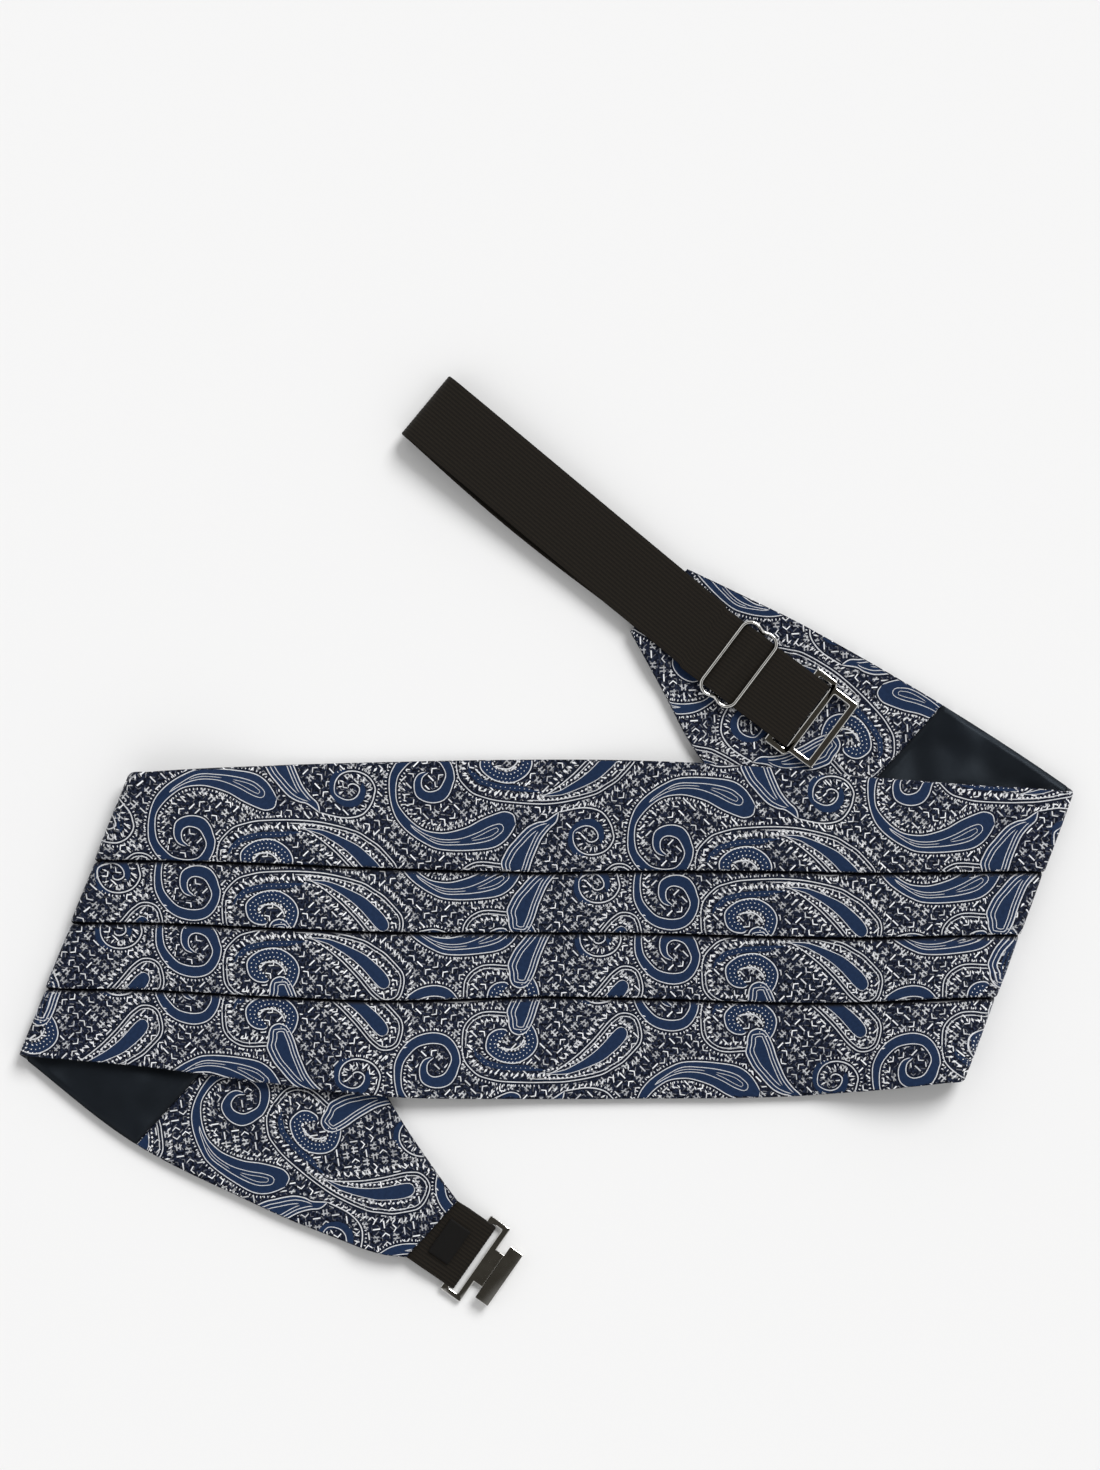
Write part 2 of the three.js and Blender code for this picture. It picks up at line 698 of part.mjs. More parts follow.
// The hook's plate: a strap frame, a neck, and a T-shaped head folded back over the neck
function addHookClasp() {
  const frameHalf = strapSlotHalf + claspRail;
  const frameEnd = 2 * claspBar + hookSlot;
  const headStart = frameEnd + neckLength;
  const headEnd = headStart + headLength;
  const frame = roundedOutline(boxCorners(0, frameEnd, frameHalf), plateCorner);
  const slot = boxCorners(claspBar, claspBar + hookSlot, strapSlotHalf);
  frame.holes.push(roundedOutline(slot, holeCorner, new THREE.Path()));
  const neckBox = boxCorners(frameEnd - claspBar / 2, headEnd - claspBar, neckWidth / 2);
  const neck = roundedOutline(neckBox, holeCorner);
  const lipTop = plateThickness / 2 + hookThroat + hookLip;
  const fold = [
    new THREE.Vector2(headStart + plateThickness, -plateThickness / 2),
    new THREE.Vector2(headEnd - holeCorner, -plateThickness / 2),
    new THREE.Vector2(headEnd, -plateThickness / 2 + holeCorner),
    new THREE.Vector2(headEnd, lipTop - holeCorner),
    new THREE.Vector2(headEnd - holeCorner, lipTop),
    new THREE.Vector2(headStart, lipTop),
    new THREE.Vector2(headStart, lipTop - hookLip),
    new THREE.Vector2(headEnd - plateThickness, lipTop - hookLip),
    new THREE.Vector2(headEnd - plateThickness, plateThickness / 2),
    new THREE.Vector2(headStart + plateThickness, plateThickness / 2),
  ];
  const head = new THREE.ExtrudeGeometry(new THREE.Shape(fold), { depth: headWidth, bevelEnabled: false });
  head.translate(0, 0, -headWidth / 2).rotateX(Math.PI / 2);
  const solid = toSolid(plateSolid(frame)).add(toSolid(plateSolid(neck))).add(toSolid(head));
  const place = frameAlong(tabFrame, tabClaspReach, 0, hookPlateLevel);
  addPiece("hook_clasp", fromSolid(solid), materials.nickel, place);
}

// The eye's plate: a strap frame, and a narrower frame whose slot takes the hook
function addEyeClasp() {
  const frameHalf = strapSlotHalf + eyeRail;
  const innerBar = claspBar + eyeStrapSlot;
  const eyeStart = innerBar + claspBar;
  const eyeEnd = eyeStart + eyeSlotLength;
  const outline = [
    new THREE.Vector2(0, -frameHalf),
    new THREE.Vector2(innerBar, -frameHalf),
    new THREE.Vector2(innerBar + claspBar, -eyeHalf),
    new THREE.Vector2(eyeEnd + eyeEndBar, -eyeHalf),
    new THREE.Vector2(eyeEnd + eyeEndBar, eyeHalf),
    new THREE.Vector2(innerBar + claspBar, eyeHalf),
    new THREE.Vector2(innerBar, frameHalf),
    new THREE.Vector2(0, frameHalf),
  ];
  const plate = roundedOutline(outline, plateCorner);
  const strapSlot = boxCorners(claspBar, innerBar, strapSlotHalf);
  const eyeSlot = boxCorners(eyeStart, eyeEnd, eyeSlotWidth / 2);
  plate.holes.push(roundedOutline(strapSlot, holeCorner, new THREE.Path()));
  plate.holes.push(roundedOutline(eyeSlot, holeCorner, new THREE.Path()));
  const place = frameAlong(slideFrame, eyeClaspReach, 0, eyePlateLevel);
  addPiece("eye_clasp", closed(plateSolid(plate)), materials.nickel, place);
}

// One closed loop of wire with rounded lobes, and a bar between its two notches
function addSlideAdjuster() {
  const wireRadius = wireThickness / 2;
  const notchTurn = Math.asin(slideLobeAlong / slideLobeRadius);
  const steps = Math.ceil((Math.PI / 2 + notchTurn) / arcStep);
  const quarterPath = [];
  for (let i = 0; i <= steps; i++) {
    const angle = lerp(-notchTurn, Math.PI / 2, i / steps);
    const along = slideLobeAlong + slideLobeRadius * Math.sin(angle);
    quarterPath.push(new THREE.Vector2(along, slideLobeAcross + slideLobeRadius * Math.cos(angle)));
  }
  const mirrored = (x, y) => quarterPath.map((point) => new THREE.Vector2(point.x * x, point.y * y));
  const path = [
    ...mirrored(-1, 1).reverse(),
    ...mirrored(1, 1).slice(1),
    ...mirrored(1, -1).reverse(),
    ...mirrored(-1, -1).slice(1),
  ].reverse();
  const count = path.length;
  const ring = new THREE.TorusGeometry(1, 0.5, wireSides, count);
  const position = ring.attributes.position;
  for (let i = 0; i < position.count; i++) {
    const k = i % (count + 1);
    const turn = (Math.floor(i / (count + 1)) / wireSides) * 2 * Math.PI;
    const here = path[k % count];
    const before = here.clone().sub(path[(k + count - 1) % count]).normalize();
    const after = path[(k + 1) % count].clone().sub(here).normalize();
    const middle = before.clone().add(after).normalize();
    const outward = new THREE.Vector2(middle.y, -middle.x);
    const reach = (wireRadius * Math.cos(turn)) / Math.max(0.6, middle.dot(before));
    position.setXYZ(i, here.x + outward.x * reach, here.y + outward.y * reach, wireRadius * Math.sin(turn));
  }
  const bar = new THREE.CylinderGeometry(wireRadius, wireRadius, 2 * slideNotchAcross, wireSides);
  addPiece("slide_adjuster", fromSolid(toSolid(ring).add(toSolid(bar))), materials.nickel, slideFrame);
}

addPleatedFront();
addLining();
addFacing(leftSide);
addFacing(rightSide);
addHookTab();
addLabel();
addHookClasp();
addAdjusterStrap();
addSlideAdjuster();
addEyeClasp();

// The origin is the middle of the foot of the whole piece
const bounds = new THREE.Box3().setFromObject(cummerbund, true);
const middle = bounds.getCenter(new THREE.Vector3());
cummerbund.position.set(-middle.x, -middle.y, -bounds.min.z);

export default cummerbund;
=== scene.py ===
"""A pleated paisley cummerbund laid face up, with both wings folded behind its front.

The cloth is described by its flat cut: s runs along it and t across it, in millimetres,
before it is folded. Everything in Blender is in metres, in the frame of the CAD model.
"""

import math
from types import SimpleNamespace

import bmesh
import bpy
import numpy as np
from bpy.props import FloatProperty, FloatVectorProperty, PointerProperty
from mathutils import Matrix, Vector


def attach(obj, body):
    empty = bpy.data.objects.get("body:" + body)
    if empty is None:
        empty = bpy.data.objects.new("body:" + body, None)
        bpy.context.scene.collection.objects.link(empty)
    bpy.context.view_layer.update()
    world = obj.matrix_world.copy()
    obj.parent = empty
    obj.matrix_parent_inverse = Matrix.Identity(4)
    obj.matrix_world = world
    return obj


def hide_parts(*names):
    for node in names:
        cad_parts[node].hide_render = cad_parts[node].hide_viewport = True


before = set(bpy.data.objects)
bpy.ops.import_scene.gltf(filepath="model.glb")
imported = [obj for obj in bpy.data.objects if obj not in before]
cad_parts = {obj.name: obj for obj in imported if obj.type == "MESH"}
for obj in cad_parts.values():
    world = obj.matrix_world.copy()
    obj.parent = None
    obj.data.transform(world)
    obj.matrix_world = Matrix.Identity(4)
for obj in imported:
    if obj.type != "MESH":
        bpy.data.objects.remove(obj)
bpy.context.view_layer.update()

bl_info = {
    "name": "Pleated Cummerbund",
    "version": (1, 0, 0),
    "blender": (4, 5, 0),
    "location": "View3D > Sidebar > Cummerbund",
    "description": "Dresses the cummerbund's frame with paisley silk, lining, elastic and nickel pieces",
    "category": "Object",
}

MM = 0.001

# The middle of the cut, in the frame, in millimetres
SHIFT = np.array([-0.41099, -33.13772, 0.0])

# Sizes of the cloth
FRONT_HEIGHT = 127.0
FOLD_SPAN = 357.0
FOLD_LEAN = math.radians(21.2)
FACE_THICKNESS = 1.2
PLEAT_LIFT = 1.0
LIP_RADIUS = 0.5
FIGURE_RELIEF = 0.24
GROOVE_DEPTH = 1.0
GROOVE_WIDTH = 1.9
LINING_THICKNESS = 1.0
FACING_THICKNESS = 1.0
SHARP_FOLD_RADIUS = 1.7
BLUNT_FOLD_RADIUS = 5.0
WING_MARGIN = 4.0
WING_RAMP = 60.0
FOLD_RAMP = 45.0
GAP = 0.3

# Sizes of the elastic
ELASTIC_THICKNESS = 1.0
TUCK_DEPTH = 12.0
TUCK_RAMP = 12.0
ADJUSTER_TURN = math.radians(2.5)
ADJUSTER_LOWER_RUN = 113.9
ADJUSTER_RETURN_TURN = math.radians(-0.25)
ADJUSTER_SLIDE_TURN = math.radians(2.7)
ADJUSTER_BOW = 1.5
FAR_LOOP_RADIUS = 4.5
TAB_TURN = math.radians(7.4)
TAB_CLASP_REACH = 15.2
SEWN_WRAP_START = math.radians(-80)
SEWN_WRAP_END = math.radians(-335)
DROP_LENGTH = 15.0
TAB_DROP_LENGTH = 8.0

# Sizes of the label
LABEL_WIDTH = 15.0
LABEL_LENGTH = 9.0
LABEL_THICKNESS = 0.6
LABEL_REACH = 8.1

# Sizes of the metal
WIRE = 1.4
SLIDE_LENGTH = 16.3
SLIDE_LOBE_RADIUS = 3.9
SLIDE_SIDE_CLEARANCE = 1.3
WIRE_SIDES = 16
# How far a lobe is spun past its notch, in radians
PAST_NOTCH = 0.5
PLATE = 1.2
PLATE_CORNER = 1.1
CLASP_BAR = 2.6
CLASP_RAIL = 2.1
HOOK_SLOT = 4.0
NECK_WIDTH = 14.4
NECK_LENGTH = 3.5
HEAD_WIDTH = 23.2
HEAD_LENGTH = 5.7
HOOK_THROAT = 1.5
HOOK_LIP = 1.0
EYE_CLASP_REACH = 24.4
EYE_STRAP_SLOT = 5.7
EYE_SLOT_LENGTH = 7.0
EYE_SLOT_WIDTH = 25.0
EYE_RAIL = 2.4
EYE_TO_FRONT = 0.75
EYE_END_BAR = 2.8
# How wide the plates' edges are worn round
HOOK_EDGE = 0.3
EYE_EDGE = 0.38
SIDE_CLEARANCE = 0.6

# Half heights of the cut, as shares of half the front's height: (along, top, bottom)
FRONT_EDGES = {
    -1: [(0.032, 1.0, 1.0), (0.319, 0.987, 0.983), (0.576, 0.965, 0.904), (0.838, 0.928, 0.804)],
    1: [(0.218, 0.993, 0.997), (0.468, 0.958, 0.989), (0.662, 0.904, 0.951), (0.87, 0.857, 0.88)],
}
WING_EDGES = {
    -1: [
        (0.102, 0.857, 0.737), (0.407, 0.762, 0.668), (0.697, 0.575, 0.443),
        (0.823, 0.473, 0.321), (0.953, 0.39, 0.169), (1.0, 0.365, 0.077),
    ],
    1: [
        (0.1, 0.811, 0.81), (0.425, 0.662, 0.69), (0.74, 0.461, 0.52),
        (0.873, 0.35, 0.386), (1.0, 0.237, 0.26),
    ],
}

# Each pleat's folded edge, as a share of the cloth's height: (left, middle, right)
PLEAT_EDGES = [
    (0.0, 0.0, 0.0),
    (0.254, 0.304, 0.274),
    (0.491, 0.492, 0.488),
    (0.711, 0.668, 0.708),
    (1.0, 1.0, 1.0),
]

OUTER = FACE_THICKNESS + PLEAT_LIFT
WING_LEVEL = OUTER
FRONT_LEVEL = LINING_THICKNESS + GAP
OVER_WING_LEVEL = WING_LEVEL + 2 * (GAP + LINING_THICKNESS) + GAP
FACING_TOP = WING_LEVEL + GAP + FACING_THICKNESS
HALF_ELASTIC = ELASTIC_THICKNESS / 2
COS_LEAN = math.cos(FOLD_LEAN)
SIN_LEAN = math.sin(FOLD_LEAN)


def wing_side(sign, wing, lining_reach, tucked_layers):
    fold_x = sign * FOLD_SPAN / 2
    return SimpleNamespace(
        sign=sign,
        wing=wing,
        fold_x=fold_x,
        lining_end=fold_x + sign * lining_reach,
        tip=fold_x + sign * wing,
        tuck_rise=tucked_layers * (ELASTIC_THICKNESS + GAP),
    )


LEFT = wing_side(-1, 176.0, 73.0, 2)
RIGHT = wing_side(1, 183.4, 78.5, 1)


# The folded cloth

def edge_rows():
    rows = []
    for side in (LEFT, RIGHT):
        rows += [(side.fold_x * a, top, bottom) for a, top, bottom in FRONT_EDGES[side.sign]]
        rows += [
            (side.fold_x + side.sign * a * side.wing, top, bottom)
            for a, top, bottom in WING_EDGES[side.sign]
        ]
    return np.array(sorted(rows))


EDGE = edge_rows()


def edge_at(column, s):
    """Half height of the cut at s, above (column 1) or below (column 2) its middle line."""
    s = np.asarray(s, float)
    place, value = EDGE[:, 0], EDGE[:, column]
    last = len(place) - 1
    before = np.maximum(np.arange(last + 1) - 1, 0)
    after = np.minimum(np.arange(last + 1) + 1, last)
    slope = (value[after] - value[before]) / (place[after] - place[before])
    i = np.clip(np.searchsorted(place, s, side="left") - 1, 0, last - 1)
    length = place[i + 1] - place[i]
    x = np.clip((s - place[i]) / length, 0, 1)
    found = value[i] * (2 * x**3 - 3 * x**2 + 1) + value[i + 1] * (3 * x**2 - 2 * x**3)
    found += slope[i] * length * (x**3 - 2 * x**2 + x) + slope[i + 1] * length * (x**3 - x**2)
    return found * FRONT_HEIGHT / 2


def across_at(s, share):
    low, high = -edge_at(2, s), edge_at(1, s)
    return low + (high - low) * share


def pleat_share(k, s):
    left, middle, right = PLEAT_EDGES[k]
    from_middle = np.minimum(1, np.abs(s) / (FOLD_SPAN / 2))
    return middle + (np.where(s < 0, left, right) - middle) * from_middle


def pleat_line(k, s):
    """The t of pleat edge k at s. Edge 0 is the cloth's lower edge and edge 4 its upper one."""
    return across_at(s, pleat_share(k, s))


def ease(low, high, x):
    share = np.clip((x - low) / (high - low), 0, 1)
    return share * share * (3 - 2 * share)


def from_fold(sign, s, t):
    run = s - sign * FOLD_SPAN / 2
    off = -sign * (run * COS_LEAN - t * SIN_LEAN)
    return off, run * SIN_LEAN + t * COS_LEAN


def onto_plan(sign, off, up):
    x = sign * FOLD_SPAN / 2 - sign * off * COS_LEAN + up * SIN_LEAN
    return x, sign * off * SIN_LEAN + up * COS_LEAN


def fold_radius(sign, up):
    share = np.clip(0.5 - sign * up / FRONT_HEIGHT, 0, 1)
    return SHARP_FOLD_RADIUS + (BLUNT_FOLD_RADIUS - SHARP_FOLD_RADIUS) * share * share


def front_height(s, t):
    height = np.full(np.shape(s), FRONT_LEVEL)
    for side in (LEFT, RIGHT):
        off, up = from_fold(side.sign, s, t)
        x, y = onto_plan(side.sign, -off, up)
        beyond = y - edge_at(1, x) if side.sign < 0 else -y - edge_at(2, x)
        over_wing = 1 - ease(WING_MARGIN, WING_MARGIN + WING_RAMP, beyond)
        radius = fold_radius(side.sign, up)
        near = 1 - ease(radius + OUTER, radius + OUTER + FOLD_RAMP, off)
        height = height + (OVER_WING_LEVEL - FRONT_LEVEL) * over_wing * (1 - near)
        height = height + (WING_LEVEL + 2 * radius - FRONT_LEVEL) * near
    return height


def folded(s, t):
    """The folded place of a point of the cut, on the inner side of the face cloth."""
    sign = np.where(s < 0, -1.0, 1.0)
    off, up = from_fold(sign, s, t)
    radius = fold_radius(sign, up)
    inset = radius + OUTER
    turn = np.clip((1 - off / inset) * math.pi / 2, 0, math.pi)
    plan_off = np.where(off <= -inset, -off, inset - radius * np.sin(turn))
    x, y = onto_plan(sign, plan_off, up)
    z = WING_LEVEL + radius * (1 + np.cos(turn))
    on_front = off >= inset
    x, y = np.where(on_front, s, x), np.where(on_front, t, y)
    z = np.where(on_front, front_height(s, t), z)
    return np.stack([x, y, z], axis=-1)


def outward(s, t):
    step = 0.4
    along = folded(s + step, t) - folded(s - step, t)
    across = folded(s, t + step) - folded(s, t - step)
    normal = np.cross(along, across)
    return normal / np.linalg.norm(normal, axis=-1, keepdims=True)


def on_wing(s, t):
    """0 on the front, 1 on a wing, and between the two round a fold."""
    sign = np.where(s < 0, -1.0, 1.0)
    off, up = from_fold(sign, s, t)
    return np.clip((1 - off / (fold_radius(sign, up) + OUTER)) / 2, 0, 1)


def soft_wave(s, t):
    """The slight unevenness of pressed silk, in millimetres."""
    wave = np.sin(s / 31.0 + t / 47.0) * np.sin(s / 17.0 - t / 23.0 + 1.3)
    wave = wave + 0.6 * np.sin(s / 9.7 + t / 13.1 + 0.4) * np.sin(t / 8.3 - s / 29.0)
    return 0.13 * wave


def face_point(s, t, row, raised=0.0):
    """A point on the visible side of pleat row `row`, counted from the lowest."""
    low, high = pleat_line(row, s), pleat_line(row + 1, s)
    up = (t - low) / (high - low)
    front = np.interp(up, [0, 0.4, 0.86, 1, 1.1], [1, 0.8, 0.3, 0, 0])
    wing = np.interp(up, [0, 0.97, 1, 1.1], [1, 1, 0, 0])
    wing_share = on_wing(s, t)
    lift = PLEAT_LIFT * (front + (wing - front) * wing_share)
    inside = LIP_RADIUS - np.clip(t - low, 0, LIP_RADIUS)
    lip = LIP_RADIUS - np.sqrt(np.maximum(LIP_RADIUS**2 - inside**2, 0))
    groove = GROOVE_DEPTH * (1 - ease(0, GROOVE_WIDTH, high - t)) if row < 3 else 0.0
    uneven = soft_wave(s, t) * (1 - wing_share) - FIGURE_RELIEF * wing_share
    offset = FACE_THICKNESS + lift - lip - groove + raised + uneven
    return folded(s, t) + outward(s, t) * offset[..., None]


def painted_groove_shade(s, t, row):
    """How much painted shade a point gets: 0 on the open cloth, 1 where it goes in under the pleat above."""
    if row == 3:
        return np.zeros(np.shape(s))
    return 1 - ease(0.8, GROOVE_WIDTH + 0.4, pleat_line(row + 1, s) - t)


def lip_foot(s, row, angle):
    """A point of a pleat's rounded lower lip. Angle -90 degrees is its underside."""
    t = pleat_line(row, s) + LIP_RADIUS * (1 - math.cos(angle))
    height = FACE_THICKNESS + PLEAT_LIFT - LIP_RADIUS + LIP_RADIUS * math.sin(angle)
    wing_share = on_wing(s, t)
    height = height + soft_wave(s, t) * (1 - wing_share) - FIGURE_RELIEF * wing_share
    return folded(s, t) + outward(s, t) * height[..., None]


def fold_station(side, share, turn_share):
    """The s at which the cut lies a given share of the way round a fold."""
    s = np.full(np.shape(share), side.fold_x)
    for _ in range(12):
        t = across_at(s, share)
        _, up = from_fold(side.sign, s, t)
        off = (fold_radius(side.sign, up) + OUTER) * (1 - 2 * turn_share)
        s = side.fold_x + (t * SIN_LEAN - side.sign * off) / COS_LEAN
    return s


# Mesh helpers

def in_frame(points):
    """Millimetres from the middle of the cut, to metres in the frame."""
    return (np.asarray(points, float) + SHIFT) * MM


def new_piece(name, points, faces, material, cloth):
    """A mesh object at the origin, from points in millimetres. `cloth` is each point's place on the cut; its
    third part, where set, is painted shade under the pleats or the dark tone of a figure's margin.
    """
    mesh = bpy.data.meshes.new(name)
    mesh.from_pydata(in_frame(points).tolist(), [], [list(map(int, face)) for face in faces])
    layer = mesh.attributes.new("cloth_place", "FLOAT_VECTOR", "POINT")
    layer.data.foreach_set("vector", np.asarray(cloth, np.float32).ravel())
    mesh.materials.append(material)
    mesh.validate()
    mesh.update()
    mesh.shade_smooth()
    piece = bpy.data.objects.new(name, mesh)
    bpy.context.collection.objects.link(piece)
    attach(piece, "root")
    return piece


def grid_faces(columns, rows, start=0, flip=False):
    i, j = np.meshgrid(np.arange(columns - 1), np.arange(rows - 1), indexing="ij")
    a = start + i * rows + j
    quads = np.stack([a, a + rows, a + rows + 1, a + 1], axis=-1).reshape(-1, 4)
    return quads[:, ::-1] if flip else quads


def rim_faces(columns, rows, second):
    """Closes the rim between two equal grids, the first facing out and the second in."""
    bottom = np.arange(columns) * rows
    top = bottom + rows - 1
    ring = np.concatenate([
        bottom, (columns - 1) * rows + np.arange(1, rows), top[::-1][1:], np.arange(1, rows - 1)[::-1],
    ])
    after = np.roll(ring, -1)
    return np.stack([ring, ring + second, after + second, after], axis=-1)


def closed_sheet(outer, inner):
    """Points and faces of a closed sheet between two grids of points, (columns, rows, 3)."""
    columns, rows = outer.shape[:2]
    points = np.concatenate([outer.reshape(-1, 3), inner.reshape(-1, 3)])
    second = columns * rows
    faces = np.concatenate([
        grid_faces(columns, rows),
        grid_faces(columns, rows, second, flip=True),
        rim_faces(columns, rows, second),
    ])
    return points, faces


def tube_faces(stations, around):
    i, j = np.meshgrid(np.arange(stations - 1), np.arange(around), indexing="ij")
    a = i * around + j
    b = i * around + (j + 1) % around
    quads = np.stack([a, b, b + around, a + around], axis=-1).reshape(-1, 4)
    first = np.arange(around)[::-1].tolist()
    last = (np.arange(around) + (stations - 1) * around).tolist()
    return quads.tolist() + [first, last]


# Materials

def material_nodes(name):
    material = bpy.data.materials.new(name)
    material.use_nodes = True
    nodes, links = material.node_tree.nodes, material.node_tree.links
    shader = nodes["Principled BSDF"]
    return material, nodes, links, shader


def add_math(nodes, links, operation, *inputs, clamp=False):
    node = nodes.new("ShaderNodeMath")
    node.operation = operation
    node.use_clamp = clamp
    for i, value in enumerate(inputs):
        if isinstance(value, (int, float)):
            node.inputs[i].default_value = value
        else:
            links.new(value, node.inputs[i])
    return node.outputs[0]


def add_noise(nodes, links, vector, scale, detail=2.0):
    node = nodes.new("ShaderNodeTexNoise")
    node.inputs["Scale"].default_value = scale
    node.inputs["Detail"].default_value = detail
    links.new(vector, node.inputs["Vector"])
    return node.outputs["Fac"]


def add_ramp(nodes, links, factor, stops):
    node = nodes.new("ShaderNodeValToRGB")
    ramp = node.color_ramp
    while len(ramp.elements) < len(stops):
        ramp.elements.new(0.5)
    for element, (place, colour) in zip(ramp.elements, stops):
        element.position = place
        element.color = (*colour, 1)
    links.new(factor, node.inputs["Fac"])
    return node.outputs["Color"]


def add_mix(nodes, links, factor, first, second):
    node = nodes.new("ShaderNodeMix")
    node.data_type = "RGBA"
    links.new(factor, node.inputs["Factor"])
    for socket, value in ((node.inputs["A"], first), (node.inputs["B"], second)):
        if isinstance(value, tuple):
            socket.default_value = (*value, 1)
        else:
            links.new(value, socket)
    return node.outputs["Result"]


def add_bump(nodes, links, shader, height, strength, distance):
    node = nodes.new("ShaderNodeBump")
    node.inputs["Strength"].default_value = strength
    node.inputs["Distance"].default_value = distance
    links.new(height, node.inputs["Height"])
    links.new(node.outputs["Normal"], shader.inputs["Normal"])


def cloth_place(nodes, links):
    """The place on the cut, in millimetres, as a vector and as its two parts. The vector's third part, where
    set, is painted shade under the pleats or a margin's dark tone.
    """
    node = nodes.new("ShaderNodeAttribute")
    node.attribute_name = "cloth_place"
    split = nodes.new("ShaderNodeSeparateXYZ")
    links.new(node.outputs["Vector"], split.inputs[0])
    return node.outputs["Vector"], split.outputs["X"], split.outputs["Y"]


def thread_lines(nodes, links, across, pitch):
    """A soft ridge for each thread, 0 to 1."""
    wave = add_math(nodes, links, "SINE", add_math(nodes, links, "MULTIPLY", across, 2 * math.pi / pitch))
    return add_math(nodes, links, "MULTIPLY_ADD", wave, 0.5, 0.5)


def mark_layer(nodes, links, u, v, pitch, turn, seed, size, wide, ribs):
    """Woven marks, one in each cell of a grid: dashes, chevrons or combs. A mask from 0 to 1."""
    def part(operation, *inputs, clamp=False):
        return add_math(nodes, links, operation, *inputs, clamp=clamp)
    cos, sin = math.cos(turn), math.sin(turn)
    x = part("ADD", part("MULTIPLY", u, cos / pitch), part("MULTIPLY", v, sin / pitch))
    y = part("SUBTRACT", part("MULTIPLY", v, cos / pitch), part("MULTIPLY", u, sin / pitch))
    cell_y = part("FLOOR", y)
    x = part("ADD", x, part("MULTIPLY", cell_y, 0.5))
    cell_x = part("FLOOR", x)
    cell = nodes.new("ShaderNodeCombineXYZ")
    links.new(cell_x, cell.inputs[0])
    links.new(cell_y, cell.inputs[1])
    cell.inputs[2].default_value = seed
    chance = nodes.new("ShaderNodeTexWhiteNoise")
    chance.noise_dimensions = "3D"
    links.new(cell.outputs[0], chance.inputs["Vector"])
    split = nodes.new("ShaderNodeSeparateColor")
    links.new(chance.outputs["Color"], split.inputs[0])
    first, second, third = split.outputs
    local_x = part("SUBTRACT", part("SUBTRACT", x, cell_x), part("MULTIPLY_ADD", second, 0.16, 0.42))
    local_y = part("SUBTRACT", part("SUBTRACT", y, cell_y), part("MULTIPLY_ADD", third, 0.16, 0.42))
    quarter = part("MULTIPLY", part("FLOOR", part("MULTIPLY", first, 4)), math.pi / 2)
    cos_q, sin_q = part("COSINE", quarter), part("SINE", quarter)
    along = part("ADD", part("MULTIPLY", local_x, cos_q), part("MULTIPLY", local_y, sin_q))
    beside_it = part("SUBTRACT", part("MULTIPLY", local_y, cos_q), part("MULTIPLY", local_x, sin_q))
    long_mask = part("MULTIPLY", part("SUBTRACT", size, part("ABSOLUTE", along)), 26.0, clamp=True)
    bend = part("MULTIPLY", part("GREATER_THAN", third, 0.4), 0.8)
    bent = part("MULTIPLY", part("ABSOLUTE", along), bend)
    off_line = part("ABSOLUTE", part("ADD", part("SUBTRACT", beside_it, bent), 0.12))
    line_mask = part("MULTIPLY", part("SUBTRACT", wide, off_line), 26.0, clamp=True)
    mask = part("MULTIPLY", long_mask, line_mask)
    if ribs:
        tooth = part("ABSOLUTE", part("SUBTRACT", part("FRACT", part("MULTIPLY", along, 1 / 0.36)), 0.5))
        tooth = part("MULTIPLY", part("SUBTRACT", wide / 0.36, tooth), 9.0, clamp=True)
        reach = part("MULTIPLY", part("SUBTRACT", 0.34, part("ABSOLUTE", beside_it)), 26.0, clamp=True)
        comb = part("MULTIPLY", part("MULTIPLY", tooth, reach), long_mask)
        mask = part("MAXIMUM", mask, part("MULTIPLY", comb, part("LESS_THAN", second, ribs)))
    return part("MULTIPLY", mask, part("MULTIPLY_ADD", second, 0.72, 0.4))


def groove_shade(nodes, links, colour):
    """Darkens a colour by the third part of cloth_place: painted shade down in the groove under a pleat and
    under its lip, where little light comes, and the dark woven tone of the figures' margins.
    """
    node = nodes.new("ShaderNodeAttribute")
    node.attribute_name = "cloth_place"
    split = nodes.new("ShaderNodeSeparateXYZ")
    links.new(node.outputs["Vector"], split.inputs[0])
    return add_mix(nodes, links, split.outputs["Z"], colour, (0.004, 0.004, 0.006))


def silk_ground(settings):
    material, nodes, links, shader = material_nodes("paisley_silk_ground")
    vector, u, v = cloth_place(nodes, links)
    first = mark_layer(nodes, links, u, v, pitch=3.6, turn=0.78, seed=1.0, size=0.41, wide=0.082, ribs=0.35)
    second = mark_layer(nodes, links, u, v, pitch=2.4, turn=0.1, seed=5.0, size=0.36, wide=0.085, ribs=0)
    marks = add_math(nodes, links, "MAXIMUM", first, add_math(nodes, links, "MULTIPLY", second, 0.2))
    patch = add_ramp(
        nodes, links, add_noise(nodes, links, vector, 0.09), [(0.35, (0.7, 0.7, 0.7)), (0.6, (1, 1, 1))]
    )
    marks = add_math(nodes, links, "MULTIPLY", marks, patch)
    speck = add_noise(nodes, links, vector, 1.1, 3.0)
    base = add_ramp(nodes, links, speck, [(0.38, tuple(settings.ground)), (0.74, (0.026, 0.034, 0.064))])
    thread = thread_lines(nodes, links, add_math(nodes, links, "ADD", u, v), 0.5)
    colour = add_mix(nodes, links, marks, base, (0.94, 0.95, 0.97))
    links.new(groove_shade(nodes, links, colour), shader.inputs["Base Color"])
    relief = add_math(nodes, links, "ADD", add_math(nodes, links, "MULTIPLY", thread, 0.4), marks)
    add_bump(nodes, links, shader, relief, 0.5, 0.0001)
    shader.inputs["Roughness"].default_value = 0.5
    shader.inputs["Specular IOR Level"].default_value = 0.035
    return material


